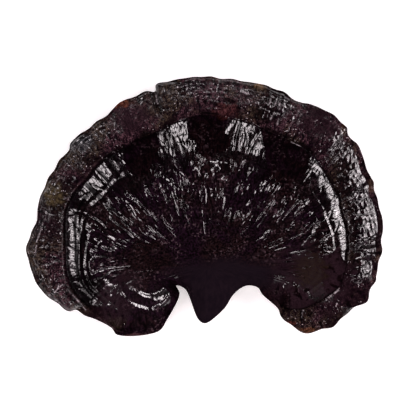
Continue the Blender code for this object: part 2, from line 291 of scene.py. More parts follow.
@dataclass(frozen=True)
class Margin:
    """The cap's outline from above, anticlockwise from the stem's tip, with a station at each bend."""

    stem_right_side: tuple[Station, ...] = (
        (0.5, -52.0, 2), (9.0, -45.5, 2), (12.5, -40.0, 2), (16.5, -36.5, 2),
    )
    right_notch: tuple[Station, ...] = ((20.0, -35.5, 2), (24.0, -36.5, 2), (26.0, -39.5, 2))
    right_lobe: tuple[Station, ...] = (
        (33.0, -46.0, 4), (34.5, -49.5, 5), (46.0, -57.0, 11), (52.5, -55.0, 12.5), (57.5, -54.0, 13),
        (65.5, -46.5, 13), (73.0, -42.5, 14), (74.5, -37.0, 14.5), (77.0, -33.5, 15), (77.0, -31.0, 15),
    )
    right_margin: tuple[Station, ...] = (
        (79.5, -20.0, 16), (79.5, -15.5, 16.5), (80.0, -7.0, 17), (76.5, 6.5, 18), (76.0, 10.5, 18),
        (74.5, 12.5, 18), (68.5, 27.5, 18.5), (64.0, 32.0, 19), (63.5, 35.0, 19.5), (57.0, 41.0, 19),
    )
    far_margin: tuple[Station, ...] = (
        (47.5, 45.5, 18.5), (43.5, 46.0, 18), (34.0, 51.5, 18.6), (25.0, 54.5, 18), (-2.0, 58.0, 17),
        (-6.5, 57.5, 17.2), (-21.5, 54.0, 19.2), (-22.0, 51.5, 17.7), (-25.5, 51.5, 18.2),
        (-29.5, 49.5, 18.9), (-37.5, 46.5, 18.2), (-41.5, 42.5, 17),
    )
    left_margin: tuple[Station, ...] = (
        (-60.0, 28.0, 15.5), (-60.5, 25.5, 15.5), (-66.0, 18.5, 14.4), (-73.5, 3.5, 12.6),
        (-75.5, -8.0, 14.6), (-79.5, -18.5, 17.6), (-73.5, -37.0, 13.4), (-69.0, -41.0, 11),
        (-60.5, -47.0, 8),
    )
    left_lobe: tuple[Station, ...] = (
        (-57.5, -46.5, 6), (-53.5, -49.0, 4), (-49.0, -50.5, 3), (-41.5, -54.5, 2), (-39.0, -57.5, 2),
        (-20.5, -56.0, 2), (-16.5, -50.5, 2), (-11.0, -39.0, 2),
    )
    left_notch: tuple[Station, ...] = ((-12.5, -35.5, 2),)
    stem_left_side: tuple[Station, ...] = ((-8.5, -37.0, 2), (-2.5, -50.5, 2))

    def stations(self) -> Array:
        """Lists the stations.

        Returns:
            All of them in order.
        """
        stretches = (
            self.stem_right_side, self.right_notch, self.right_lobe, self.right_margin, self.far_margin,
            self.left_margin, self.left_lobe, self.left_notch, self.stem_left_side,
        )
        return np.array([station for stretch in stretches for station in stretch], float)

    def spread(self, count: int) -> Array:
        """Spreads points round the margin, closer together where it turns quickly.

        Args:
            count: Number of points.

        Returns:
            Their fractional station numbers.
        """
        stations = self.stations()
        ahead = np.roll(stations, -1, axis=0) - stations
        knots = np.concatenate(([0.0], np.cumsum(np.hypot(ahead[:, 0], ahead[:, 1]) ** 0.5)))
        return np.interp(np.arange(count) / count * knots[-1], knots, np.arange(len(stations) + 1))

    def at(self, numbers: Array) -> Array:
        """Samples the closed cubic curve through the stations.

        Its knots are the root of a chord apart, and its slope at a station is the mean of the slopes on
        both sides, each weighted by the other side's knot gap.

        Args:
            numbers: Fractional station numbers.

        Returns:
            (x, y, band width) at each of them.
        """
        stations = self.stations()
        count = len(stations)
        ahead = np.roll(stations, -1, axis=0) - stations
        gap = np.hypot(ahead[:, 0], ahead[:, 1]) ** 0.5
        behind, gap_behind = np.roll(ahead, 1, axis=0), np.roll(gap, 1)
        slope = (
            ahead / gap[:, None] * gap_behind[:, None] + behind / gap_behind[:, None] * gap[:, None]
        ) / (gap + gap_behind)[:, None]
        start = np.floor(numbers).astype(int) % count
        end = (start + 1) % count
        f = (numbers - np.floor(numbers))[:, None]
        span = gap[start][:, None]
        return (
            stations[start] * (1 + 2 * f) * (1 - f) ** 2
            + stations[end] * f**2 * (3 - 2 * f)
            + slope[start] * span * f * (1 - f) ** 2
            - slope[end] * span * f**2 * (1 - f)
        )


@dataclass(frozen=True)
class Root:
    """The small ellipse that the growth paths start on, in millimetres.

    Attributes:
        centre: Its centre, where all paths meet.
        half_width: Half its size across the cap.
        half_depth: Half its size the other way.
        share: The share of each path over which the cap spreads from the centre to the ellipse.
        angles: (margin station, degrees round the ellipse) where a growth path ends and starts.
    """

    centre: Span = (1.8, -26.0)
    half_width: float = 36.7
    half_depth: float = 6.3
    share: float = 0.22
    angles: tuple[tuple[int, int], ...] = (
        (0, -90), (2, -76), (4, -62), (6, -48), (7, -34), (8, -29), (9, -19), (11, -11), (14, 2),
        (19, 34), (24, 62), (30, 84), (31, 90), (34, 100), (40, 121), (42, 136), (44, 158), (47, 182),
        (52, 205), (53, 218), (54, 226), (55, 231), (56, 242), (57, 256), (58, 263), (59, 270),
    )


class GrowthPlan:
    """The growth paths seen from above, and the quantities round the cap that the heights depend on.

    Attributes:
        turn: Share of the way round the margin at which each path ends.
        on_cap: 1 where it ends at the cap's margin and 0 where it ends at the stem's.
        band: Width of the rim band on it, in millimetres.
        furrow: Share of it at which the furrow lies.
        around: Where it crosses the furrow, in millimetres round the cap, from 0 to girth.
    """

    RIPPLES: tuple[Wave, ...] = ((43, 0.20, 0.4), (59, 0.15, 2.1))
    SMOOTHING = 1 / 60  # of a turn: how far a column's neighbours count in its averages

    def __init__(self, columns: int) -> None:
        """Lays out the paths.

        Args:
            columns: Number of growth paths.
        """
        margin_curve, root = Margin(), Root()
        reach = max(1, round(columns * self.SMOOTHING))
        self.columns = columns
        self.centre = np.array(root.centre)
        self.root_share = root.share
        stations = margin_curve.spread(columns)
        self.tip = margin_curve.stations()[0, :2]
        margin = margin_curve.at(stations)
        travelled = self.travelled(margin[:, :2])
        self.turn = travelled[:-1] / travelled[-1]
        angles = np.interp(stations, *zip(*root.angles))
        angles = np.radians(smoothed(angles - 360 * self.turn, reach) + 360 * self.turn)
        half_sizes = np.array((root.half_width, root.half_depth))
        self.root = self.centre + half_sizes * np.stack((np.cos(angles), np.sin(angles)), axis=1)
        inward = self.root - self.centre
        outward = margin[:, :2] - self.root
        self.root_distance = np.hypot(inward[:, 0], inward[:, 1])
        self.near_root = np.clip(-inward[:, 1] / root.half_depth, 0.0, 1.0)
        length = np.hypot(outward[:, 0], outward[:, 1])
        self.on_cap = smooth_step(2.2, 6.0, margin[:, 2])
        self.direction = outward / length[:, None]
        self.length = length + waves(self.RIPPLES, self.turn) * self.on_cap
        furrow_at = smoothed(length - margin[:, 2], reach)
        self.band = np.clip(self.length - furrow_at, 0.3 * margin[:, 2], 0.8 * self.length)
        self.furrow = 1 - self.band / self.length
        self.outline = self.root + self.length[:, None] * self.direction
        x, y = self.outline.T
        self.far_side = smooth_step(-10.0, 60.0, y)
        self.right_lobe = smooth_step(10.0, 40.0, x) * smooth_step(-30.0, -48.0, y)
        self.left_lobe = smooth_step(-56.0, -44.0, x) * smooth_step(-8.0, -12.0, x)
        self.left_lobe *= smooth_step(-34.0, -44.0, y)
        self.right_side = smooth_step(45.0, 68.0, x) * smooth_step(-54.0, -38.0, y)
        self.right_side *= smooth_step(44.0, 26.0, y)
        self.middle = (self.outline.min(axis=0) + self.outline.max(axis=0)) / 2
        self.furrow_line = self.points(self.furrow)
        self.furrow_gap = self.gap(self.furrow_line[None])[0]
        travelled = self.travelled(self.furrow_line)
        self.girth = float(travelled[-1])
        self.around = travelled[:-1]

    @staticmethod
    def travelled(line: Array) -> Array:
        """Returns the way travelled round a closed line at each of its points, and last the whole way."""
        steps = np.roll(line, -1, axis=0) - line
        return np.concatenate(([0.0], np.cumsum(np.hypot(steps[:, 0], steps[:, 1]))))

    @staticmethod
    def gap(points: Array) -> Array:
        """Returns the distance between the growth paths on both sides of each point."""
        across = np.roll(points, -1, axis=1) - np.roll(points, 1, axis=1)
        return np.hypot(across[..., 0], across[..., 1])

    def crowding(self, points: Array) -> Array:
        """Returns the growth paths' distance from each other, as a share of that at the furrow."""
        return np.clip(self.gap(points) / self.furrow_gap, 0.05, 1.0)

    def from_crown(self, share: Array, root_reach: float) -> Array:
        """Returns the way out from the crown as a share of the way to the furrow.

        The root ellipse counts as the geometric mean of its own reach and root_reach, and for less on its
        side towards the stem, so that the cap falls almost evenly to all sides.
        """
        reach = np.sqrt(root_reach * self.root_distance) * (1 - 0.7 * self.near_root)
        return (self.spread(share) * reach + share * self.length) / (reach + self.furrow * self.length)

    def spread(self, share: Array) -> Array:
        """Returns how far the root ellipse is reached, as 1 - (1 - t)^2: 0 at the centre and 1 on it."""
        return 1 - (1 - np.clip(share / self.root_share, 0.0, 1.0)) ** 2

    def way_out(self, share: Array) -> Array:
        """Returns how far a point is from the centre along its growth path, in millimetres."""
        return self.spread(share) * self.root_distance + share * self.length

    def points(self, share: Array) -> Array:
        """Places points on the growth paths.

        A point is the centre, plus the way to the root ellipse times the spread, plus the path's direction
        times the share of its length.

        Args:
            share: Share of each path: 0 at the centre and 1 at the margin.

        Returns:
            The points seen from above.
        """
        return (
            self.centre
            + self.spread(share)[..., None] * (self.root - self.centre)
            + (share * self.length)[..., None] * self.direction
        )

    def by_side(self, pair: Span) -> Array:
        """Returns a quantity given as (at the lobes, at the far side), for every column."""
        return pair[0] + (pair[1] - pair[0]) * self.far_side

    def edge_distance(self, points: Array) -> Array:
        """Measures how far points are from the outline, one row of points at a time.

        Args:
            points: Points seen from above.

        Returns:
            Each one's distance to the nearest edge of the outline.
        """
        start = self.outline
        along = np.roll(start, -1, axis=0) - start
        squared = (along**2).sum(-1)
        rows = []
        for row in points:
            offset = row[:, None, :] - start
            share = np.clip((offset * along).sum(-1) / squared, 0.0, 1.0)
            rows.append(np.sqrt(((offset - share[..., None] * along) ** 2).sum(-1).min(-1)))
        return np.array(rows)


@dataclass(frozen=True)
class LargeForm:
    """The heights that the solid has too, above the pore face, in millimetres.

    Attributes:
        shoulder_rise: Step up from the band to the disc, at the lobes and at the far side.
        shoulder_width: How wide it is there.
        furrow_depth: How deep the furrow is there.
        stem_reach: Distances from stem_centre where the stem begins to fade, and where it is gone.
        disc_rings: (disc share, height at the lobes and at the far side, half-width as a disc share).
        creases: (x and y at the margin, depth, half-width) of the radial creases in the band.
        taper: By how much the right side's band thins at its margin, over taper_width.
        cut_margin: How far above the slice the stem's edge stays.
    """

    margin_height: float = 4.8
    margin_waves: tuple[Wave, ...] = ((3, 0.5, 1.0), (5, 0.4, 2.6), (9, 0.25, 0.7))
    band_height: float = 8.9
    band_swell: float = 1.5
    shoulder_rise: Span = (1.5, 3.4)
    shoulder_width: Span = (7.5, 22.0)
    furrow_depth: Span = (0.6, 0.25)
    furrow_half_width: float = 0.42
    crown_height: float = 18.0
    dome_power: float = 2.0
    root_reach: float = 22.0
    stem_height: float = 8.0
    stem_rise: float = 1.8
    cap_edge_radius: float = 4.8
    stem_edge_radius: float = 6.5
    under_edge_radius: float = 6.5
    stem_centre: Span = (3.0, -43.0)
    stem_reach: Span = (9.0, 21.0)
    disc_rings: tuple[tuple[float, float, float, float], ...] = (
        (0.765, 0.38, 0.05, 0.022), (0.655, 0.35, 0.07, 0.022), (0.52, 0.20, 0.10, 0.03),
        (0.38, 0.15, 0.10, 0.03),
    )
    radial_folds: tuple[Wave, ...] = ((5, 0.30, 0.3), (9, 0.15, 1.9))
    creases: tuple[tuple[float, float, float, float], ...] = (
        (74.5, -37.0, 0.7, 1.8), (79.5, -16.0, 1.0, 1.8), (75.0, 12.0, 1.0, 1.8), (64.0, 33.5, 1.0, 1.8),
        (45.0, 45.5, 0.8, 1.8), (-22.0, 51.5, 1.8, 1.6), (-41.0, 43.0, 0.5, 1.8), (-60.5, 25.5, 0.7, 1.8),
        (-74.5, 0.0, 0.6, 1.8), (-57.5, -46.5, 1.5, 1.8),
    )
    taper_width: float = 15.0
    taper: float = 0.85
    cut_height_at_tip: float = 9.0
    cut_slope: float = 0.62
    cut_margin: float = 0.4

    def stem(self, points: Array) -> Array:
        """Returns 1 on the stem and 0 on the cap."""
        away = np.hypot(points[..., 0] - self.stem_centre[0], points[..., 1] - self.stem_centre[1])
        return 1 - smooth_step(*self.stem_reach, away)

    def cut(self, plan: GrowthPlan, points: Array) -> Array:
        """Returns the height of the slanted slice through the stem, which falls backwards from the tip."""
        return self.cut_height_at_tip - self.cut_slope * (points[..., 1] - plan.tip[1])

    def edge(self, plan: GrowthPlan, points: Array) -> Array:
        """Works out the line where the upper and lower faces meet.

        Args:
            plan: The growth paths.
            points: Points seen from above.

        Returns:
            Its height: waved round the cap, and kept above the slice on the stem.
        """
        stem = self.stem(points)
        cap = self.margin_height + waves(self.margin_waves, plan.turn) * plan.on_cap
        edge = cap + (self.stem_height - cap) * stem
        return np.where(stem > 0, np.maximum(edge, self.cut(plan, points) + self.cut_margin), edge)

    def crease_depth(self, plan: GrowthPlan, band_share: Array) -> Array:
        """Works out the radial creases in the rim band, each the bell curve of the distance from its place.

        Args:
            plan: The growth paths.
            band_share: Share of the way from the margin to the furrow.

        Returns:
            How deep they cut.
        """
        depth = np.zeros_like(band_share)
        for x, y, deepest, half_width in self.creases:
            away = np.hypot(plan.outline[:, 0] - x, plan.outline[:, 1] - y)
            depth += deepest * bump(away, 0.0, half_width)
        return depth * smooth_step(1.05, 0.5, band_share)

    def upper(self, plan: GrowthPlan, share: Array, points: Array) -> Array:
        """Works out the upper face before the margin rounds it off.

        The rim band swells between margin and furrow, a shoulder steps up from the furrow, and a dome rises
        from there to the crown. Growth rings and radial folds lie on the disc, and creases cut the band.

        Args:
            plan: The growth paths.
            share: Share of each path.
            points: The same points seen from above.

        Returns:
            Its height.
        """
        from_margin = (1 - share) * plan.length
        inside_furrow = from_margin - plan.band
        band_share = np.clip(from_margin / plan.band, 0.0, 1.3)
        disc_share = share / plan.furrow
        rise = plan.on_cap * plan.by_side(self.shoulder_rise)
        swell = self.band_swell * np.sin(math.pi * np.clip(band_share, 0, 1) ** 1.5)
        swell = np.where(inside_furrow < 0, swell, 0.0)
        furrow = plan.by_side(self.furrow_depth) * bump(inside_furrow, 0.0, self.furrow_half_width)
        on_stem = self.stem_rise * self.stem(points)
        height = self.band_height + on_stem + plan.on_cap * (swell - furrow)
        height += rise * (1 - (1 - np.clip(inside_furrow / plan.by_side(self.shoulder_width), 0, 1)) ** 2)
        dome = 1 - np.clip(plan.from_crown(share, self.root_reach), 0.0, 1.0) ** self.dome_power
        height += (self.crown_height - self.band_height - on_stem - rise) * dome
        off_stem = (1 - self.stem(points)) * smooth_step(6.0, 16.0, plan.length)
        off_stem *= (1 - 0.65 * plan.right_lobe) * (1 - 0.85 * plan.left_lobe)
        for middle, near, far, half_width in self.disc_rings:
            height += off_stem * plan.by_side((near, far)) * bump(disc_share, middle, half_width)
        height += off_stem * waves(self.radial_folds, plan.turn) * smooth_step(0.3, 0.8, share)
        return height - self.crease_depth(plan, band_share)

    def thinning(self, plan: GrowthPlan, share: Array) -> Array:
        """Returns by how much the right side's band thins towards its margin: 1 where it keeps its height.

        It falls as the power 1.5 of the way left to the margin.
        """
        way = np.clip((1 - share) * plan.length / self.taper_width, 0.0, 1.0)
        return 1 - self.taper * plan.right_side * (1 - way) ** 1.5


@dataclass(frozen=True)
class Relief:
    """Fine relief that only this mesh has, in millimetres.

    Attributes:
        pulse: Slow noise that lets the wrinkles swell and sink from one growth ring to the next.
        dash_step: Where the dashes' noise begins to rise, and where it is at their full height.
        lobe_centre: The middle that the left lobe's rings curve round.
        lobe_rings: (radius, height, half-width) of each of them.
        side_rings: (distance inside the furrow, height, half-width) of the left shoulder's fine rings.
        side_ring_gap: Distances inside the furrow between which the spaces between those rings are painted
            dark, as painted shade.
    """

    fine: Grain = Grain(1.7, 4.2, 11)
    fine_height: float = 0.28
    pulse: Grain = Grain(70.0, 4.5, 41)
    dash: Grain = Grain(2.3, 5.2, 12)
    dash_height: float = 0.54
    dash_step: Span = (0.16, 0.56)
    fold: Grain = Grain(3.1, 13.0, 13)
    fold_height: float = 0.14
    terrace: Grain = Grain(26.0, 1.7, 15)
    terrace_height: float = 0.05
    lump: Grain = Grain(1.7, 1.4, 16)
    lump_height: float = 0.11
    plate: Grain = Grain(3.2, 2.6, 19)
    plate_height: float = 0.40
    crackle: Crackle = Crackle(2.7, 2.2, 0.30, 0.46, 17)
    crackle_depth: float = 0.42
    split: Crackle = Crackle(4.4, 13.0, 0.34, 0.34, 18)
    split_depth: float = 0.16
    lobe_centre: Span = (-23.3, -29.1)
    lobe_rings: tuple[Triple, ...] = ((9.0, 0.50, 1.5), (14.8, 0.36, 1.5))
    side_rings: tuple[Triple, ...] = ((6.8, 0.10, 0.45), (9.2, 0.05, 0.8))
    side_ring_gap: Span = (4.5, 10.8)


@dataclass(frozen=True)
class Places:
    """Where the crust changes, seen from above. Limits are (0 here, 1 here); lengths are in millimetres.

    Attributes:
        stray: Noise that frays the edges of all places.
        wobble: Noise that bends the nets of cracks, by up to wobble_reach.
        calm_holes: Noise whose peaks are small lively spots in calm skin.
        glossy_spots: Noise whose peaks are small lacquered spots on the band.
        calm: Smooth, dull skin.
        shade: Painted shade between the left shoulder and its lobe: skin painted near black that mirrors
            almost nothing.
        rays: (x and y at the furrow, half-width) of radial folds across the bright shoulder: shallow
            grooves, painted near black as painted shade.
        flare: Satin skin on the stem and where it spreads into the cap.
        polished: Lacquered places on the band, besides right_gloss.
        left_strip: The left shoulder's strip of fine rings, as deep as left_strip_depth.
        matt: Skin that mirrors nothing.
        matt_edge: How wide such skin is along the margin: everywhere, more on the right, more at notches.
        notches: Limits across the cap, of the distance from notch_middle, and limits along it.
        far_lip: Outer and inner limits of the matt lip, from the far furrow inwards.
        beyond_rings: Limits of the distance from the left lobe's own middle, past its rings.
        painted_furrow_shade: Strength of the painted shade in the furrow, a dark line painted along it, at
            the lobes and at the far side.
        furrow_shade_middle: How far inside the furrow it runs there.
        furrow_shade_half_width: Half its width there.
    """

    stray: Grain = Grain(5.0, 6.0, 21)
    wobble: Grain = Grain(6.0, 5.0, 22)
    wobble_reach: float = 0.8
    calm_holes: Grain = Grain(1.7, 1.9, 23)
    calm_hole_limits: Span = (0.38, 0.54)
    glossy_spots: Grain = Grain(1.2, 2.8, 24)
    glossy_spot_limits: Span = (0.36, 0.46)
    calm: tuple[Patch, ...] = (
        Patch(53, 38, 11, 9, 0.5), Patch(46, -33, 19, 14, 0.95), Patch(-41, -43, 10, 9, 0.8),
        Patch(-35, -33, 7, 6, 0.5), Patch(-31, 39, 9, 6, 0.7),
    )
    # Painted shade: near-black skin that mirrors almost nothing, beside the left lobe.
    shade: tuple[Patch, ...] = (Patch(-57, -38, 5, 7, 0.7), Patch(-50.5, -38.5, 6, 7.5, 0.9))
    # Painted shade: rays painted near black across the bright shoulder, over shallow grooves.
    rays: tuple[Triple, ...] = (
        (-48.5, 17.5, 0.9), (-53.8, 11.0, 1.5), (-60.5, -4.0, 0.6), (-61.5, -17.0, 0.7),
        (-14.5, 38.5, 0.5), (16.0, 38.5, 0.5), (57.0, 5.0, 0.7), (59.5, -7.5, 0.9), (60.0, -17.0, 0.8),
    )
    flare: tuple[Patch, ...] = (Patch(4, -42, 14, 18), Patch(9, -31, 25, 9))
    polished: tuple[Patch, ...] = (
        Patch(31, 44, 8, 7), Patch(18.8, 50.5, 3, 2), Patch(-3, 54, 5, 2), Patch(-56, 30, 5, 3),
        Patch(-21, 47, 2, 4), Patch(63, 21, 4, 6),
    )
    right_gloss: Stretch = Stretch((50, 60), (-36, -28), (36, 28))
    left_strip: Stretch = Stretch((-44, -54), (-40, -34), (12, 4))
    left_strip_depth: Span = (12.0, 10.5)
    matt: tuple[Patch, ...] = (
        Patch(31, -42, 15, 9), Patch(48, -50, 18, 11), Patch(66, -40, 9, 8), Patch(-17, -33, 11, 3.2),
        Patch(-46, -49, 11, 7), Patch(-26.5, 24, 9.5, 10), Patch(2, 31, 9, 13), Patch(35.5, 20, 10.5, 15),
        Patch(-36, -56, 10, 4), Patch(57, -31, 8, 11), Patch(30.5, 30, 6.5, 8),
    )
    matt_edge: Triple = (1.3, 2.0, 2.2)
    notch_middle: float = 5.0
    notches: tuple[Span, Span] = ((42.0, 30.0), (-26.0, -34.0))
    far_lip: tuple[Span, Span] = ((-2.8, -2.2), (0.4, 0.0))
    lobe: Patch = Patch(-25, -44, 14, 14)
    beyond_rings: Span = (15.6, 16.6)
    # Painted shade: a dark line painted along the furrow.
    painted_furrow_shade: Span = (0.6, 1.0)
    furrow_shade_middle: Span = (-0.1, -0.7)
    furrow_shade_half_width: Span = (0.5, 0.8)


class CrustMap:
    """How the upper face differs from place to place, as grids of shares from 0 to 1.

    Attributes:
        inside: How far each vertex is inside the furrow, in millimetres.
        band: The rim band.
        dull: The band's own skin, between its lacquered places.
        core: Where the growth paths crowd together.
        side: The left shoulder's strip of fine rings.
    """

    def __init__(
        self, plan: GrowthPlan, form: LargeForm, relief: Relief, share: Array, points: Array,
    ) -> None:
        """Works out all grids.

        Args:
            plan: The growth paths.
            form: The heights that the solid has too.
            relief: The fine relief, for its nets of cracks and its rings.
            share: Share of each path.
            points: The same points seen from above.
        """
        self.plan, self.form, self.relief, self.places = plan, form, relief, Places()
        self.share, self.points = share, points
        self.around = np.broadcast_to(plan.around, share.shape)
        self.out = plan.way_out(share)
        self.crowding = plan.crowding(points)
        self.from_margin = (1 - share) * plan.length
        self.inside = self.from_margin - plan.band
        self.stray = self.sample(self.places.stray)
        self.band = smooth_step(1.02, 0.98, self.from_margin / plan.band) * plan.on_cap
        self.flare = self.strongest(self.places.flare, 0.15)
        holes = smooth_step(*self.places.calm_hole_limits, self.sample(self.places.calm_holes))
        self.calm = self.strongest(self.places.calm, 0.4) * (1 - holes)
        # Painted shade: patches painted near black that mirror almost nothing.
        self.shade = self.strongest(self.places.shade, 0.5) * (1 - holes)
        self.right = self.places.right_gloss(points, 3 * self.stray)
        self.glossy = self.glossy_places()
        self.dull = self.band * (1 - 0.85 * self.glossy)
        self.core = smooth_step(0.55, 0.25, self.crowding)
        self.side = self.places.left_strip(points) * (1 - self.band)
        self.smooth = self.smooth_shoulder()
        self.matt = self.matt_places()
        self.crackle = self.band_cracks()
        self.split = self.shoulder_splits()
        self.painted_furrow_shade = self.furrow_painted_shade()
        self.ring_gap_shade = self.painted_ring_gap_shade()

    def sample(self, grain: Grain) -> Array:
        """Returns a grain's heights at the vertices."""
        return grain(self.around, self.out, self.plan.girth)

    def sample_even(self, grain: Grain) -> Array:
        """Returns a grain's heights, with cells that keep their width where growth paths crowd together."""
        return grain.even(self.around, self.out, self.plan.girth, self.crowding)

    def strongest(self, patches: tuple[Patch, ...], fray: float) -> Array:
        """Samples several patches.

        Args:
            patches: The patches.
            fray: How far their edges stray, in half-sizes.

        Returns:
            The strongest of them at each vertex.
        """
        strongest = np.zeros_like(self.share)
        for patch in patches:
            strongest = np.maximum(strongest, patch(self.points, fray * self.stray))
        return strongest

    def glossy_places(self) -> Array:
        """Works out where the band is lacquered.

        Returns:
            The right side, the polished patches and small spots.
        """
        band_share = self.from_margin / self.plan.band
        glossy = self.band * self.right * smooth_step(0.90, 0.78, band_share)
        glossy *= smooth_step(0.13, 0.25, band_share + 0.05 * self.stray)
        glossy = np.maximum(glossy, self.band * self.strongest(self.places.polished, 0.5))
        spots = smooth_step(*self.places.glossy_spot_limits, self.sample(self.places.glossy_spots))
        return np.maximum(glossy, self.band * spots * (1 - self.calm))

    def smooth_shoulder(self) -> Array:
        """Works out the even shoulder inside the furrow.

        Returns:
            A strip as wide as the solid's shoulder, or as the left side's strip of rings.
        """
        depth = self.inside / self.plan.by_side(self.form.shoulder_width)
        smooth = smooth_step(1.2, 0.8, depth + 0.2 * self.stray) * (1 - self.band)
        strip = self.side * smooth_step(*self.places.left_strip_depth, self.inside)
        return np.maximum(smooth, strip) * self.plan.on_cap

    def matt_places(self) -> Array:
        """Works out where the skin mirrors nothing.

        Returns:
            The stem's flare, the margin, the matt patches, the lip beside the far furrow, and the left lobe
            past its rings.
        """
        places, middle = self.places, self.relief.lobe_centre
        x, y = self.points[..., 0], self.points[..., 1]
        across, along = places.notches
        by_notch = smooth_step(*along, y) * smooth_step(*across, np.abs(x - places.notch_middle))
        everywhere, right, notch = places.matt_edge
        edge = everywhere + right * self.right + notch * by_notch
        margin = smooth_step(0.3, -0.3, self.from_margin - edge + 0.8 * self.stray)
        outer, inner = places.far_lip
        lip = smooth_step(*outer, self.inside) * smooth_step(*inner, self.inside)
        lip *= self.plan.far_side > 0.3
        from_lobe = np.hypot(x - middle[0], y - middle[1])
        beyond = smooth_step(*places.beyond_rings, from_lobe + 0.4 * self.stray) * places.lobe(self.points)
        return np.max([self.flare, margin, self.strongest(places.matt, 0.3), lip, beyond], axis=0)

    def wobble(self) -> Array:
        """Returns how far the nets of cracks are moved, in millimetres."""
        return self.places.wobble_reach * self.sample(self.places.wobble)

    def band_cracks(self) -> Array:
        """Works out the band's net of cracks.

        Returns:
            Full cracks where the band is lacquered, and half as strong ones on its own skin.
        """
        girth, wobble = self.plan.girth, self.wobble()
        net = self.relief.crackle(np.mod(self.around + wobble, girth), self.out + wobble, girth)
        return net * (self.glossy + 0.5 * self.band * (1 - self.glossy) * (1 - self.calm))

    def shoulder_splits(self) -> Array:
        """Works out what crosses the shoulder.

        Returns:
            Its long splits, and the rays, shallow grooves painted dark as painted shade, where they are
            stronger.
        """
        girth = self.plan.girth
        split = self.relief.split(np.mod(self.around + self.wobble(), girth), self.out, girth)
        shoulder = bump(self.inside, 5.0, 6.5) * (1 - self.band)
        lively = (1 - self.flare) * (1 - 0.8 * self.calm)
        return np.maximum(split * shoulder * lively, self.rays() * bump(self.inside, 6.0, 9.0))

    def rays(self) -> Array:
        """Works out the radial folds, shallow grooves painted near black as painted shade: bell curves of a
        path's distance from the fold's own place.

        Returns:
            1 in the middle of a fold.
        """
        line, ray = self.plan.furrow_line, np.zeros(self.plan.columns)
        for x, y, half_width in self.places.rays:
            away = np.hypot(line[:, 0] - x, line[:, 1] - y)
            ray = np.maximum(ray, bump(away, 0.0, half_width))
        return smooth_step(0.3, 0.6, ray + 0.2 * self.stray) * (1 - self.band)

    def furrow_painted_shade(self) -> Array:
        """Works out the painted shade in the furrow: a dark line painted along it, a bell curve across it.

        Returns:
            Its strength, which fades here and there.
        """
        plan, places = self.plan, self.places
        middle, half_width = plan.by_side(places.furrow_shade_middle), plan.by_side(places.furrow_shade_half_width)
        strength = plan.by_side(places.painted_furrow_shade) * plan.on_cap * smooth_step(-0.55, 0.25, self.stray)
        return strength * bump(self.inside, middle, half_width)

    def painted_ring_gap_shade(self) -> Array:
        """Works out the painted shade between the left shoulder's fine rings: the spaces between them
        painted dark.

        Returns:
            The stretch that holds the rings, less the rings.
        """
        begin, end = self.relief.side_ring_gap
        ring_gap_shade = smooth_step(begin, begin + 0.4, self.inside + 0.2 * self.stray)
        ring_gap_shade *= smooth_step(end + 0.5, end, self.inside)
        for middle, _, width in self.relief.side_rings:
            ring_gap_shade *= 1 - smooth_step(width + 0.25, width - 0.15, np.abs(self.inside - middle))
        return self.side * ring_gap_shade

    def lively(self) -> Array:
        """Works out how far the crust is wrinkled.

        Returns:
            1 on most of the disc, and less where it is calm, smooth or crowded, at the crown and on the
            left lobe.
        """
        lively = (1 - self.flare) * (1 - 0.85 * self.calm) * (1 - 0.88 * self.smooth)
        lively *= smooth_step(0.08, 0.2, self.share)
        return lively * (smooth_step(0.10, 0.32, self.crowding) * (1 - 0.8 * self.places.lobe(self.points)))


class Finish(Enum):
    """The mesh's material slots, in order."""

    LACQUER = 0
    RIM = 1
    MATT = 2
    PORES = 3
    CUT = 4


@dataclass(frozen=True)
class Stain:
    """A tinted place on the crust, as strong as its patch."""

    patch: Patch
    colour: Colour


@dataclass(frozen=True)
class ScratchOrPaintedGlint:
    """A pale line on the crust, from (x, y) to (x, y), in millimetres: either a scratched line or a painted
    highlight.
    """

    start: Span
    end: Span
    half_width: float = 0.3
    strength: float = 0.8

    def __call__(self, points: Array) -> Array:
        """Samples the line.

        Args:
            points: Where to sample it, seen from above.

        Returns:
            Its strength on the line, falling off as the bell curve of the distance to it.
        """
        start, along = np.array(self.start), np.subtract(self.end, self.start)
        offset = points - start
        share = np.clip((offset @ along) / (along @ along), 0.0, 1.0)
        away = offset - share[..., None] * along
        return self.strength * bump(np.hypot(away[..., 0], away[..., 1]), 0.0, self.half_width)


@dataclass(frozen=True)
class PaintedFurrowHighlight:
    """A painted highlight: a pale line along the furrow's outer edge. Each limit is (0 here, 1 here).

    Attributes:
        colour: Its colour.
        across: Where it ends across the cap, in millimetres.
        along: Where it ends the other way, in millimetres.
        whole: Below which value of the stray noise it is broken, and above which it is whole.
        amount: How strong it is.
    """

    colour: Colour
    across: Span
    along: Span
    whole: Span
    amount: float = 1.0

    def __call__(self, points: Array, stray: Array) -> Array:
        """Returns how strong the line is, before it is kept to the furrow's edge."""
        ends = smooth_step(*self.across, points[..., 0]) * smooth_step(*self.along, points[..., 1])
        return self.amount * (ends * smooth_step(*self.whole, stray))


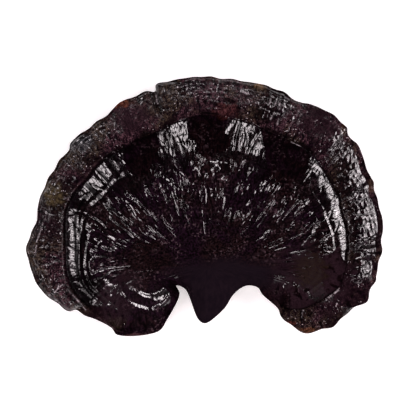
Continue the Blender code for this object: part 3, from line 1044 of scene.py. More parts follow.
@dataclass(frozen=True)
class CrustColours:
    """Colours of the crust, as linear light, and the marks on it, painted highlights among them."""

    lacquer: Colour = (0.0012, 0.0005, 0.0008)
    purple: Colour = (0.0105, 0.0034, 0.0085)
    brown: Colour = (0.0115, 0.0045, 0.0052)
    worn: Colour = (0.050, 0.030, 0.036)
    band: Colour = (0.0040, 0.0014, 0.0026)
    band_light: Colour = (0.086, 0.040, 0.052)
    band_olive: Colour = (0.070, 0.048, 0.034)
    satin: Colour = (0.0054, 0.0033, 0.0053)
    satin_light: Colour = (0.0082, 0.0048, 0.0072)
    chip: Colour = (0.46, 0.40, 0.42)
    calm: Colour = (0.0070, 0.0030, 0.0044)
    calm_light: Colour = (0.017, 0.0080, 0.0115)
    # Pale colour of the scratched lines and of the painted highlights.
    scratch_and_painted_glint: Colour = (0.80, 0.70, 0.74)
    # The fork near the left lobe and the line from (-60.5, -37.0) are scratched lines; the line at the far
    # band's step, the short dashes at the far right and the short dash at (43.5, -47.0) are painted
    # highlights.
    scratches_and_painted_glints: tuple[ScratchOrPaintedGlint, ...] = (
        ScratchOrPaintedGlint((-66.8, -39.0), (-64.7, -36.3)), ScratchOrPaintedGlint((-64.7, -36.3), (-62.7, -34.9)),
        ScratchOrPaintedGlint((-64.7, -36.3), (-64.5, -34.7)), ScratchOrPaintedGlint((-71.7, -7.6), (-74.4, -16.0)),
        ScratchOrPaintedGlint((-74.6, -17.5), (-74.8, -21.5)), ScratchOrPaintedGlint((-21.6, 49.7), (-20.8, 45.5), 0.45),
        ScratchOrPaintedGlint((-60.5, -37.0), (-52.5, -46.0), 0.25), ScratchOrPaintedGlint((43.5, -47.0), (43.3, -49.5), 0.22),
        ScratchOrPaintedGlint((29.5, 47.4), (28.9, 45.3), 0.35), ScratchOrPaintedGlint((31.8, 46.1), (31.3, 44.6), 0.35),
        ScratchOrPaintedGlint((33.6, 45.6), (33.1, 43.0), 0.5), ScratchOrPaintedGlint((30.8, 40.6), (29.2, 38.3), 0.4),
        ScratchOrPaintedGlint((33.1, 38.3), (32.3, 35.9), 0.35), ScratchOrPaintedGlint((38.6, 28.4), (43.0, 26.3), 0.2),
        ScratchOrPaintedGlint((17.3, 50.6), (19.2, 49.8), 0.7),
    )
    # Painted highlights: pale lines painted along the furrow's outer edge, on the left side and on the
    # right lobe.
    painted_furrow_highlights: tuple[PaintedFurrowHighlight, ...] = (
        PaintedFurrowHighlight((0.13, 0.075, 0.080), (-30.0, -45.0), (40.0, 10.0), (-0.7, 0.5), 0.75),
        PaintedFurrowHighlight((0.80, 0.70, 0.74), (36.0, 42.0), (-28.0, -36.0), (0.15, 0.45)),
    )
    # Colour of the cracks, and of the painted shade that shares their grid.
    crack: Colour = (0.0012, 0.0007, 0.0009)
    stain_edge: Grain = Grain(1.6, 2.2, 31)
    stains: tuple[Stain, ...] = (
        Stain(Patch(-37, 45.5, 5, 2, 0.6), (0.30, 0.085, 0.045)),
        Stain(Patch(24.5, 53, 3.5, 1.8, 0.7), (0.22, 0.12, 0.05)),
        Stain(Patch(62, 34, 1.3, 3, 0.5), (0.20, 0.08, 0.035)),
        Stain(Patch(9.5, 42, 6, 4, 0.5), (0.14, 0.035, 0.03)),
        Stain(Patch(75.5, 9.5, 2.5, 4, 0.6), (0.12, 0.07, 0.045)),
        Stain(Patch(-67, 5, 6, 6, 0.85), (0.085, 0.062, 0.03)),
        Stain(Patch(38.0, -52.0, 4, 1.1, 0.6), (0.28, 0.07, 0.06)),
        Stain(Patch(46.5, -55.0, 4.5, 1.7, 0.6), (0.26, 0.10, 0.045)),
        Stain(Patch(-29, -58, 7, 1.4, 0.5), (0.16, 0.07, 0.07)),
        Stain(Patch(-54.5, 27.5, 6, 4.5, 0.6), (0.07, 0.08, 0.095)),
        Stain(Patch(47.5, -28.5, 8, 9, 0.7), (0.016, 0.0100, 0.0045)),
        Stain(Patch(-38, -52, 5, 3, 0.6), (0.022, 0.016, 0.007)),
        Stain(Patch(-30, -42, 17, 13, 0.3), (0.055, 0.034, 0.044)),
    )


@dataclass
class Mushroom:
    """The whole fungus as one closed mesh.

    Attributes:
        columns: Growth paths in the mesh.
        disc_rows: Rings from the crown to just inside the furrow.
        band_rows: Rings from there to the margin.
        beside_furrow: Distances outwards from the furrow, in millimetres, of the rings close to it.
        full_band: Width of the rim band below which those distances shrink with it.
        under_band: Where the underside's outer rings lie, as shares of the way from margin to furrow.
        under_disc: Where its inner rings lie, as shares of the way from the centre to the furrow.
        crust_rows_below: Rows of faces below the margin that the crust still covers.
        sharp_angle: Angle in degrees from which on an edge between two faces is sharp.
    """

    columns: int = 1060
    disc_rows: int = 47
    band_rows: int = 31
    beside_furrow: tuple[float, ...] = (-1.1, -0.75, -0.4, 0.0, 0.35, 0.7, 1.1)
    full_band: float = 8.0
    under_band: tuple[float, ...] = (0.01, 0.04, 0.09, 0.17, 0.28, 0.45)
    under_disc: tuple[float, ...] = (1.0, 0.75, 0.50, 0.25)
    crust_rows_below: int = 3
    sharp_angle: float = 65.0
    form: LargeForm = field(default_factory=LargeForm)
    relief: Relief = field(default_factory=Relief)
    colours: CrustColours = field(default_factory=CrustColours)

    def build(self) -> bpy.types.Object:
        """Makes the mesh, its attributes and its materials.

        Returns:
            The object, at the origin, with its place in its mesh.
        """
        plan = GrowthPlan(self.columns)
        upper, lower = self.shares(plan)
        top, below = plan.points(upper), plan.points(lower)
        crust = CrustMap(plan, self.form, self.relief, upper, top)
        under = self.lower_height(plan, below)
        rings = np.concatenate((np.dstack((top, self.upper_height(crust))), np.dstack((below, under))))
        crown = np.array((*plan.centre, rings[0, :, 2].mean()))
        pole = np.array((*plan.centre, 0.0))
        vertices = self.in_frame(plan, np.concatenate((crown[None], rings.reshape(-1, 3), pole[None])))
        finishes = self.finishes(crust, under - self.form.cut(plan, below))
        mesh = bpy.data.meshes.new("reishi_mushroom")
        mesh.from_pydata(vertices.tolist(), [], self.faces(len(rings)))
        mesh.polygons.foreach_set("material_index", finishes.astype(np.int32))
        mesh.shade_smooth()
        mesh.set_sharp_from_angle(angle=math.radians(self.sharp_angle))
        self.write_attributes(mesh, crust, np.concatenate((upper, lower)))
        mesh.validate()
        mesh.update()
        body = bpy.data.objects.new("reishi_mushroom", mesh)
        bpy.context.scene.collection.objects.link(body)
        return body

    def shares(self, plan: GrowthPlan) -> tuple[Array, Array]:
        """Spaces the rings of vertices.

        Rings on the disc lie closer together towards the furrow, as t (1.5 - 0.5 t). Rings on the band lie
        closer together towards the margin, as the power 1.4 of the way left. A few lie close together at
        the furrow.

        Args:
            plan: The growth paths.

        Returns:
            The shares of each path at which the upper and the lower rings lie.
        """
        t = np.arange(self.disc_rows)[:, None] / self.disc_rows
        disc = (t * (1.5 - 0.5 * t))[1:]
        left = (1 - np.arange(1, self.band_rows + 1)[:, None] / self.band_rows) ** 1.4
        band = 1 - plan.furrow
        narrow = np.clip(plan.band / self.full_band, 0, 1) / plan.length
        beside = plan.furrow + np.array(self.beside_furrow)[:, None] * narrow
        upper = np.concatenate((disc * beside[0], beside, 1 - left * (1 - beside[-1])))
        under_band, under_disc = np.array(self.under_band), np.array(self.under_disc)
        lower = np.concatenate((1 - under_band[:, None] * band, under_disc[:, None] * plan.furrow))
        return upper, lower

    def upper_height(self, crust: CrustMap) -> Array:
        """Adds the fine relief to the solid's own upper face, and rounds it off at the margin.

        Args:
            crust: The upper rings' crust.

        Returns:
            The upper rings' heights.
        """
        form, points = self.form, crust.points
        height = form.upper(crust.plan, crust.share, points)
        for layer in self.wrinkles(crust) + self.plates_and_rings(crust):
            height += layer
        height -= self.relief.crackle_depth * crust.crackle + self.relief.split_depth * crust.split
        edge = form.edge(crust.plan, points)
        stem_edge = (form.stem_edge_radius - form.cap_edge_radius) * form.stem(points)
        rise = (height - edge) * form.thinning(crust.plan, crust.share)
        distance = crust.plan.edge_distance(points)
        return edge + rise * rounding(distance, form.cap_edge_radius + stem_edge)

    def wrinkles(self, crust: CrustMap) -> list[Array]:
        """Works out the relief that runs along the growth paths.

        Args:
            crust: The upper rings' crust.

        Returns:
            The heights of the wrinkles, the dashes and the folds.
        """
        relief, band, lively = self.relief, crust.band, crust.lively()
        fine = crust.sample_even(relief.fine)
        dash = smooth_step(*relief.dash_step, crust.sample_even(relief.dash))
        fold = crust.sample_even(relief.fold)
        ringed = 0.85 + 0.35 * crust.sample(relief.pulse)
        towards_crown = smooth_step(0.8, 0.35, crust.share / crust.plan.furrow)
        return [
            ringed * lively * (1 - 0.1 * band + 0.3 * towards_crown) * relief.fine_height * fine,
            lively * (1 - 0.6 * band) * relief.dash_height * dash,
            lively * (1 - 0.3 * band) * relief.fold_height * fold,
        ]

    def plates_and_rings(self, crust: CrustMap) -> list[Array]:
        """Works out the relief that doesn't run along the growth paths.

        Args:
            crust: The upper rings' crust.

        Returns:
            The heights of the terraces, of the band's lumps and plates, and of the fine rings.
        """
        relief, band, calm, on_cap = self.relief, crust.band, crust.calm, 1 - crust.flare
        stepped = (1 - 0.7 * calm) * on_cap * (1 - 0.8 * crust.smooth)
        layers = [
            (1 - 0.6 * band) * stepped * relief.terrace_height * crust.sample(relief.terrace),
            band * (1 - 0.7 * calm) * relief.lump_height * crust.sample(relief.lump),
            crust.glossy * relief.plate_height * crust.sample(relief.plate),
            on_cap * self.lobe_rings(crust.points),
        ]
        for middle, height, width in relief.side_rings:
            layers.append(crust.side * height * bump(crust.inside, middle + 0.5 * width, width))
        return layers

    def lobe_rings(self, points: Array) -> Array:
        """Works out the left lobe's own raised rings, which curve round its middle towards its margin.

        Args:
            points: Points seen from above.

        Returns:
            Their height.
        """
        middle = self.relief.lobe_centre
        x, y = points[..., 0] - middle[0], points[..., 1] - middle[1]
        away = np.hypot(x, y)
        rings = sum(height * bump(away, radius, width) for radius, height, width in self.relief.lobe_rings)
        return rings * smooth_step(2.0, -5.0, y)

    def lower_height(self, plan: GrowthPlan, points: Array) -> Array:
        """Works out the underside: rounded at the margin, flat where the pores open, and cut at the stem.

        Args:
            plan: The growth paths.
            points: Points on it, seen from above.

        Returns:
            Its height.
        """
        form = self.form
        edge = form.edge(plan, points)
        face = edge * (1 - rounding(plan.edge_distance(points), form.under_edge_radius))
        return np.where(form.stem(points) > 0, np.maximum(face, form.cut(plan, points)), face)

    def in_frame(self, plan: GrowthPlan, vertices: Array) -> Array:
        """Moves the plan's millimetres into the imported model's frame.

        The solid has fewer paths, so its outline is a little shorter at its tightest bends. Each axis is
        scaled by the share, close to 1, that keeps this mesh within the solid's own box.

        Args:
            plan: The growth paths.
            vertices: Points in the plan's own millimetres.

        Returns:
            The points in metres.
        """
        low, high = (np.array(corner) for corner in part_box(NODE))
        placed = (vertices - np.array((*plan.middle, 0.0))) * MM
        share = np.minimum(1.0, high / placed.max(axis=0))
        share[:2] = np.minimum(share[:2], low[:2] / placed.min(axis=0)[:2])
        return placed * share

    def faces(self, rings: int) -> list[tuple[int, ...]]:
        """Joins the vertices: a fan at the crown, quads between the rings and a fan below.

        Args:
            rings: Number of rings between the two poles.

        Returns:
            The faces' vertex numbers, in the order that makes them face outwards.
        """
        count = self.columns
        column = np.arange(count)
        ahead = (column + 1) % count
        start = 1 + np.arange(rings - 1)[:, None] * count
        end = start + count
        quads = np.stack((start + column, end + column, end + ahead, start + ahead), axis=-1)
        crown = np.stack((np.zeros(count, int), 1 + column, 1 + ahead), axis=-1)
        last = 1 + (rings - 1) * count
        pole = np.stack((np.full(count, last + count), last + ahead, last + column), axis=-1)
        return [tuple(face) for grid in (crown, quads.reshape(-1, 4), pole) for face in grid.tolist()]

    def finishes(self, crust: CrustMap, above_cut: Array) -> Array:
        """Chooses the faces' finishes.

        Args:
            crust: The upper rings' crust.
            above_cut: How far each vertex of the lower rings is from the slice through the stem.

        Returns:
            The number of each face's material slot, in the order of the faces.
        """
        upper = len(crust.share)
        finish = np.full((upper + len(above_cut) - 1, self.columns), Finish.LACQUER.value)
        finish[:upper][crust.dull > 0.5] = Finish.RIM.value
        finish[upper:] = Finish.MATT.value
        finish[:upper][crust.matt > 0.5] = Finish.MATT.value
        finish[upper + self.crust_rows_below:] = Finish.PORES.value
        sliced = np.abs(above_cut) < 1e-6
        both = sliced[:-1] & sliced[1:]
        finish[upper:][both & np.roll(both, -1, axis=1)] = Finish.CUT.value
        crown = np.full(self.columns, Finish.MATT.value)
        pole = np.full(self.columns, Finish.PORES.value)
        return np.concatenate((crown, finish.ravel(), pole))

    def write_attributes(self, mesh: bpy.types.Mesh, crust: CrustMap, share: Array) -> None:
        """Stores what the materials read at each vertex.

        The growth vector rolls the plan up as a cylinder, so that a pattern on it has no seam: its first
        two numbers go round a circle of the cap's girth, and the third runs out along the growth path. The
        lower rings repeat the margin's values of the crust map.

        Args:
            mesh: The mesh to store them in.
            crust: The upper rings' crust.
            share: Share of each path, for all rings.
        """
        plan = crust.plan
        angle = plan.around / plan.girth * 2 * math.pi
        radius = plan.girth / (2 * math.pi)
        rolled = np.stack((radius * np.cos(angle), radius * np.sin(angle)), axis=-1)
        growth = np.dstack((np.broadcast_to(rolled, (*share.shape, 2)), plan.way_out(share)))
        self.write(mesh, "growth", "FLOAT_VECTOR", growth)
        # The crack grid holds real cracks and painted shade: the furrow's dark line, the shade patches, the
        # rays and the spaces between the left shoulder's rings.
        crack = np.max([crust.crackle, crust.split, crust.painted_furrow_shade, crust.shade, crust.ring_gap_shade], axis=0)
        grids = {
            "dull": crust.dull, "calm": crust.calm, "flare": crust.flare, "smooth": crust.smooth,
            "core": crust.core, "crack": crack,
        }
        for name, grid in grids.items():
            below = np.repeat(grid[-1:], len(share) - len(grid), axis=0)
            self.write(mesh, name, "FLOAT", np.concatenate((grid, below))[..., None])
        self.write(mesh, "tint", "FLOAT_COLOR", self.tint(plan, share))

    def tint(self, plan: GrowthPlan, share: Array) -> Array:
        """Lays stains, painted highlights along the furrow, and pale lines, scratched or painted as
        highlights, over each other.

        Args:
            plan: The growth paths.
            share: Share of each path.

        Returns:
            Their colour and alpha at each vertex.
        """
        points, colours = plan.points(share), self.colours
        around = np.broadcast_to(plan.around, share.shape)
        stray = colours.stain_edge(around, plan.way_out(share), plan.girth)
        inside = (1 - share) * plan.length - plan.band
        line = bump(inside + 0.2 * stray, -0.8, 0.4)
        layers = [(stain.colour, stain.patch(points, 0.35 * stray)) for stain in colours.stains]
        # Painted highlights along the furrow's edge, then the pale lines, scratched or painted highlights.
        layers += [(light.colour, light(points, stray) * line) for light in colours.painted_furrow_highlights]
        layers += [(colours.scratch_and_painted_glint, pale_line(points)) for pale_line in colours.scratches_and_painted_glints]
        tint = np.zeros((*share.shape, 4))
        for colour, amount in layers:
            tint = tint * (1 - amount[..., None]) + amount[..., None] * np.array((*colour, 1.0))
        return tint

    def write(self, mesh: bpy.types.Mesh, name: str, kind: str, grid: Array) -> None:
        """Stores a grid of values as one of the mesh's attributes.

        Args:
            mesh: The mesh to store it in.
            name: Name of the attribute.
            kind: Blender's name for the kind of its values.
            grid: A list of numbers for each vertex of each ring.
        """
        layer = mesh.attributes.new(name, kind, "POINT")
        layer.data.foreach_set(STORED_AS[kind], self.with_poles(grid).astype(np.float32).ravel())

    @staticmethod
    def with_poles(grid: Array) -> Array:
        """Returns a grid's values as one row per vertex, with the mean of the end rings at the poles."""
        flat = grid.reshape(-1, grid.shape[-1])
        return np.concatenate((grid[0].mean(axis=0)[None], flat, grid[-1].mean(axis=0)[None]))


class Wiring:
    """Adds and joins the nodes of one material."""

    def __init__(self, name: str) -> None:
        """Starts a material with its Principled shader.

        Args:
            name: Name of the material.
        """
        self.material = bpy.data.materials.new(name)
        self.material.use_nodes = True
        self.tree = self.material.node_tree
        self.shader = self.tree.nodes["Principled BSDF"]

    def feed(self, socket: Socket, value: object) -> None:
        """Links an output to a socket, or sets the socket to a constant.

        Args:
            socket: The input to feed.
            value: The output or the constant.
        """
        if isinstance(value, Socket):
            self.tree.links.new(value, socket)
        else:
            socket.default_value = value

    def node(
        self, kind: str, settings: dict[str, object], inputs: dict[str | int, object],
    ) -> bpy.types.Node:
        """Adds a node.

        Args:
            kind: Blender's name for the node.
            settings: Its properties.
            inputs: Its inputs by name or number, as constants or outputs of other nodes.

        Returns:
            The node.
        """
        made = self.tree.nodes.new(kind)
        for key, value in settings.items():
            setattr(made, key, value)
        for key, value in inputs.items():
            self.feed(made.inputs[key], value)
        return made

    def attribute(self, name: str, output: str = "Fac") -> Socket:
        """Returns one of the mesh's own attributes."""
        return self.node("ShaderNodeAttribute", {"attribute_name": name}, {}).outputs[output]

    def math(self, operation: str, first: object, second: object = 0.0) -> Socket:
        """Returns the result of a sum on two numbers."""
        return self.node("ShaderNodeMath", {"operation": operation}, {0: first, 1: second}).outputs[0]

    def times(self, first: object, second: object) -> Socket:
        """Returns two numbers' product."""
        return self.math("MULTIPLY", first, second)

    def most(self, first: object, second: object) -> Socket:
        """Returns the greater of two numbers."""
        return self.math("MAXIMUM", first, second)

    def less(self, value: object) -> Socket:
        """Returns 1 less a number."""
        return self.math("SUBTRACT", 1.0, value)

    def blend(self, share: float, first: object, second: object) -> Socket:
        """Returns share of the first number, plus what is left of the second."""
        return self.math("ADD", self.times(first, share), self.times(second, 1 - share))

    def stretched(self, vector: Socket, scale: Triple) -> Socket:
        """Returns a vector with each part multiplied by its own scale."""
        made = self.node("ShaderNodeVectorMath", {"operation": "MULTIPLY"}, {0: vector, 1: scale})
        return made.outputs["Vector"]

    def noise(
        self, vector: Socket, scale: float, detail: float, rough: float = 0.5, warp: float = 0.0,
    ) -> Socket:
        """Adds fractal noise.

        Args:
            vector: Where it is sampled.
            scale: Cells for each unit of that.
            detail: How many times finer cells are added.
            rough: How strong those are.
            warp: How far the noise bends itself.

        Returns:
            Values between about 0.25 and 0.75.
        """
        inputs = {
            "Vector": vector, "Scale": scale, "Detail": detail, "Roughness": rough, "Distortion": warp,
        }
        return self.node("ShaderNodeTexNoise", {}, inputs).outputs["Fac"]

    def range(
        self, value: object, low: float, high: float, to_low: float = 0.0, to_high: float = 1.0,
    ) -> Socket:
        """Carries a value from one range to another on an S-curve, held at both ends.

        Args:
            value: The value.
            low: Start of its own range.
            high: End of its own range.
            to_low: What the start becomes.
            to_high: What the end becomes.

        Returns:
            The new value.
        """
        made = self.node(
            "ShaderNodeMapRange", {"interpolation_type": "SMOOTHSTEP"},
            {"Value": value, "From Min": low, "From Max": high, "To Min": to_low, "To Max": to_high},
        )
        return made.outputs["Result"]

    def mix(self, share: object, first: object, second: object) -> Socket:
        """Mixes two colours.

        Args:
            share: How much of the second there is.
            first: The colour where share is 0.
            second: The colour where share is 1.

        Returns:
            The mixture.
        """
        made = self.node(
            "ShaderNodeMix", {"data_type": "RGBA"},
            {0: share, 6: self.opaque(first), 7: self.opaque(second)},
        )
        return made.outputs[2]

    def bump(self, height: Socket, distance: float, normal: Socket | None = None) -> Socket:
        """Tilts the normals by a height.

        Args:
            height: The height, from 0 to 1.
            distance: How many metres high it is where it is 1.
            normal: Normals that are tilted already.

        Returns:
            The tilted normals.
        """
        inputs = {"Height": height, "Distance": distance, "Strength": 1.0}
        if normal is not None:
            inputs["Normal"] = normal
        return self.node("ShaderNodeBump", {}, inputs).outputs["Normal"]

    @staticmethod
    def opaque(colour: object) -> object:
        """Returns a colour with its alpha, and leaves an output as it is."""
        return (*colour, 1.0) if isinstance(colour, tuple) else colour


@dataclass(frozen=True)
class Fractal:
    """Fractal noise in a material.

    Attributes:
        scale: Cells for each metre, or for each millimetre (round the cap, along the growth paths).
        detail: How many times finer cells are added.
        rough: How strong those are.
        warp: How far the noise bends itself.
    """

    scale: float | Span
    detail: float
    rough: float = 0.6
    warp: float = 0.0


@dataclass(frozen=True)
class CrustPatterns:
    """The patterns that all crust finishes share."""

    hair: Fractal = Fractal((1.6, 0.35), 3.0)
    mottle: Fractal = Fractal((0.5, 0.3), 4.0, warp=0.4)
    speck: Fractal = Fractal((1.3, 0.6), 2.0)
    pucker: Fractal = Fractal((0.9, 0.55), 4.0, 0.65)
    net: Span = (0.75, 0.22)
    net_spread: float = 0.9
    grit: Fractal = Fractal(1300.0, 3.0, 0.7)
    core: Fractal = Fractal(1300.0, 4.0, 0.65)
    dust: Fractal = Fractal(2300.0, 2.0)
    cloud: Fractal = Fractal(55.0, 3.0, warp=0.5)
    wear: Fractal = Fractal(900.0, 2.0)
    worn_places: Fractal = Fractal(110.0, 3.0)
    deep_places: Fractal = Fractal(42.0, 3.0, 0.55, 0.4)
    chip: Fractal = Fractal(1400.0, 1.0, 0.5)
    chipped_places: Fractal = Fractal(130.0, 2.0, 0.5)


@dataclass(frozen=True)
class CrustFinish:
    """A finish of the hard crust.

    All of them have nearly black lacquer on the disc, a dull brown-purple skin on the rim band and a smooth
    satin skin on the stem, so that they run into each other. They differ in how much light they mirror.

    Attributes:
        name: Name of the material.
        mirror: How much light it mirrors.
        fade: How much of that its calm and satin skin lacks.
        lacquer_roughness: Roughness of the lacquer, from its smoothest to its roughest places.
        dull_roughness: The same of the rim band's skin.
        satin_roughness: Roughness of the calm and the satin skin.
        hair: Height of the finest wrinkles, in metres.
        grit: Height of the rim band's grit, in metres.
        pucker: Height of the puckers on dull and calm skin, in metres.
        unlit: Colour of what cracks and painted shade mirror.
    """

    name: str
    mirror: float
    fade: float = 1.0
    colours: CrustColours = CrustColours()
    patterns: CrustPatterns = CrustPatterns()
    lacquer_roughness: Span = (0.05, 0.10)
    dull_roughness: Span = (0.08, 0.20)
    satin_roughness: float = 0.40
    hair: float = 0.000009
    grit: float = 0.00004
    pucker: float = 0.00006
    unlit: Colour = (0.004, 0.004, 0.004)

    def material(self) -> bpy.types.Material:
        """Builds the material: colour, roughness and fine bump all follow the growth paths."""
        return CrustWiring(self).wire()


class CrustWiring(Wiring):
    """The nodes of one crust finish."""

    def __init__(self, finish: CrustFinish) -> None:
        """Starts the material, with what several of its parts read.

        Args:
            finish: The finish to build.
        """
        super().__init__(finish.name)
        self.finish, self.colours, self.patterns = finish, finish.colours, finish.patterns
        self.growth = self.attribute("growth", "Vector")
        self.place = self.node("ShaderNodeTexCoord", {}, {}).outputs["Object"]
        # The crack attribute holds the cracks and the painted shade.
        self.dull, self.calm, self.flare, self.smooth, self.crack = (
            self.attribute(name) for name in ("dull", "calm", "flare", "smooth", "crack")
        )
        self.plain = self.most(self.flare, self.calm)
        self.mottle = self.pattern(self.patterns.mottle)
        self.speck = self.pattern(self.patterns.speck)
        self.pucker = self.pattern(self.patterns.pucker)
        self.grit = self.pattern(self.patterns.grit)
        self.grain = self.blend(0.4, self.pucker, self.pattern(self.patterns.dust))
        self.clouded = self.range(self.pattern(self.patterns.cloud), 0.42, 0.58)

    def wire(self) -> bpy.types.Material:
        """Feeds the shader.

        Returns:
            The material.
        """
        inputs = self.shader.inputs
        self.feed(inputs["Base Color"], self.colour())
        self.feed(inputs["Roughness"], self.roughness())
        self.feed(inputs["Specular IOR Level"], self.finish.mirror)
        self.feed(inputs["Specular Tint"], self.mirrored())
        self.feed(inputs["Normal"], self.normal())
        return self.material

    def along_growth(self, scale: Span) -> Socket:
        """Returns the growth vector in cells, of which scale is (round the cap, along the growth paths)."""
        return self.stretched(self.growth, (scale[0], scale[0], scale[1]))

    def pattern(self, fractal: Fractal) -> Socket:
        """Adds a noise: along the growth paths where it has two scales, and else even in space.

        Args:
            fractal: The noise.

        Returns:
            Its values.
        """
        vector, scale = self.place, fractal.scale
        if isinstance(scale, tuple):
            vector, scale = self.along_growth(scale), 1.0
        return self.noise(vector, scale, fractal.detail, fractal.rough, fractal.warp)

    def lacquer(self) -> Socket:
        """Mixes the lacquer's colour.

        Returns:
            Black with purple and brown blotches, and worn in some places.
        """
        colours, patterns = self.colours, self.patterns
        blotch = self.blend(0.6, self.blend(0.5, self.mottle, self.speck), self.grit)
        blotch = self.mix(self.attribute("core"), blotch, self.pattern(patterns.core))
        in_middle = self.range(self.smooth, 0.0, 1.0, 1.0, 0.45)
        tinged = self.mix(self.clouded, colours.purple, colours.brown)
        lacquer = self.mix(self.times(self.range(blotch, 0.47, 0.58), in_middle), colours.lacquer, tinged)
        worn = self.times(self.range(self.pattern(patterns.wear), 0.54, 0.66), in_middle)
        worn = self.times(worn, self.range(self.pattern(patterns.worn_places), 0.46, 0.62))
        return self.mix(worn, lacquer, colours.worn)

    def skin(self) -> Socket:
        """Mixes the rim band's colour.

        Returns:
            A dark skin with pale grains and small chips.
        """
        colours, patterns = self.colours, self.patterns
        light = self.mix(self.clouded, colours.band_light, colours.band_olive)
        skin = self.mix(self.range(self.grain, 0.46, 0.62), colours.band, light)
        deep = self.range(self.pattern(patterns.deep_places), 0.48, 0.60, 0.0, 0.75)
        skin = self.mix(deep, skin, colours.band)
        chip = self.range(self.pattern(patterns.chip), 0.67, 0.72)
        chipped = self.times(chip, self.range(self.pattern(patterns.chipped_places), 0.48, 0.56))
        return self.mix(chipped, skin, colours.chip)

    def colour(self) -> Socket:
        """Mixes the crust's colour.

        Returns:
            All its skins, with the mesh's own stains, scratched lines and painted highlights, and its
            cracks and painted shade over them.
        """
        colours = self.colours
        calm = self.mix(self.range(self.grain, 0.40, 0.60), colours.calm, colours.calm_light)
        satin = self.mix(self.range(self.mottle, 0.35, 0.65), colours.satin, colours.satin_light)
        colour = self.mix(self.dull, self.lacquer(), self.skin())
        colour = self.mix(self.flare, self.mix(self.calm, colour, calm), satin)
        tint = self.node("ShaderNodeAttribute", {"attribute_name": "tint"}, {})
        # Stains, scratched lines and painted highlights, all from the tint attribute.
        stains_and_painted_highlights = self.times(tint.outputs["Alpha"], self.range(self.grain, 0.42, 0.56, 0.1, 1.0))
        colour = self.mix(stains_and_painted_highlights, colour, tint.outputs["Color"])
        # Cracks and painted shade are painted near black.
        return self.mix(self.crack, colour, colours.crack)

    def roughness(self) -> Socket:
        """Mixes the crust's roughness.

        Returns:
            That of the roughest skin at each place.
        """
        lacquer = self.range(self.mottle, 0.35, 0.65, *self.finish.lacquer_roughness)
        skin = self.range(self.speck, 0.35, 0.65, *self.finish.dull_roughness)
        satin = self.times(self.plain, self.finish.satin_roughness)
        return self.most(lacquer, self.most(satin, self.times(self.dull, skin)))

    def mirrored(self) -> Socket:
        """Mixes the colour of mirrored light.

        Returns:
            White, and nearly black in cracks and painted shade, in flecks of the lacquer and on plain skin.
        """
        net = self.node(
            "ShaderNodeTexVoronoi", {"feature": "DISTANCE_TO_EDGE"},
            {
                "Vector": self.along_growth(self.patterns.net), "Scale": 1.0,
                "Randomness": self.patterns.net_spread,
            },
        ).outputs["Distance"]
        fleck = self.most(self.range(net, 0.10, 0.03), self.range(self.grit, 0.45, 0.39))
        on_lacquer = self.times(self.less(self.plain), self.less(self.dull))
        crack = self.most(self.crack, self.times(fleck, on_lacquer))
        faded = self.times(self.range(self.plain, 0.15, 0.5), self.finish.fade)
        return self.mix(self.most(crack, faded), (1.0, 1.0, 1.0), self.finish.unlit)

    def normal(self) -> Socket:
        """Builds the fine bump.

        Returns:
            Normals tilted by grit on the band, puckers on dull and calm skin, and fine hairs elsewhere.
        """
        finish = self.finish
        gritty = self.bump(self.times(self.grit, self.dull), finish.grit)
        puckered = self.bump(
            self.times(self.pucker, self.most(self.dull, self.calm)), finish.pucker, gritty,
        )
        lively = self.less(self.most(self.plain, self.times(self.smooth, 0.85)))
        hair = self.times(self.pattern(self.patterns.hair), lively)
        return self.bump(hair, finish.hair, puckered)


@dataclass(frozen=True)
class PoreFinish:
    """The matt brown pore face, with lengths in metres."""

    ground: Colour = (0.10, 0.062, 0.036)
    light: Colour = (0.17, 0.115, 0.07)
    pore: Colour = (0.028, 0.016, 0.010)
    pores_per_metre: float = 2600.0
    pore_depth: float = 0.0001
    clouds_per_metre: float = 60.0
    roughness: float = 0.85

    def material(self) -> bpy.types.Material:
        """Builds the material.

        Returns:
            A close net of pores on a cloudy brown ground.
        """
        w = Wiring("pore_face")
        place = w.node("ShaderNodeTexCoord", {}, {}).outputs["Object"]
        cloud = w.noise(place, self.clouds_per_metre, 4.0)
        cells = w.node("ShaderNodeTexVoronoi", {}, {"Vector": place, "Scale": self.pores_per_metre})
        open_pore = w.range(cells.outputs["Distance"], 0.42, 0.2)
        colour = w.mix(w.range(cloud, 0.35, 0.65), self.ground, self.light)
        w.feed(w.shader.inputs["Base Color"], w.mix(open_pore, colour, self.pore))
        w.feed(w.shader.inputs["Roughness"], self.roughness)
        w.feed(w.shader.inputs["Normal"], w.bump(w.less(open_pore), self.pore_depth))
        return w.material


@dataclass(frozen=True)
class CutFinish:
    """The corky brown flesh where the stem was sliced, with lengths in metres."""

    flesh: Colour = (0.105, 0.050, 0.026)
    fibre: Colour = (0.20, 0.115, 0.065)
    fibres_per_metre: float = 1200.0
    fibre_stretch: Triple = (1.0, 0.25, 1.0)
    fibre_height: float = 0.00025
    roughness: float = 0.9

    def material(self) -> bpy.types.Material:
        """Builds the material.

        Returns:
            Brown flesh with fibres that run the stem's length.
        """
        w = Wiring("cut_flesh")
        place = w.node("ShaderNodeTexCoord", {}, {}).outputs["Object"]
        fibre = w.noise(w.stretched(place, self.fibre_stretch), self.fibres_per_metre, 4.0, 0.65)
        w.feed(w.shader.inputs["Base Color"], w.mix(w.range(fibre, 0.35, 0.65), self.flesh, self.fibre))
        w.feed(w.shader.inputs["Roughness"], self.roughness)
        w.feed(w.shader.inputs["Normal"], w.bump(fibre, self.fibre_height))
        return w.material


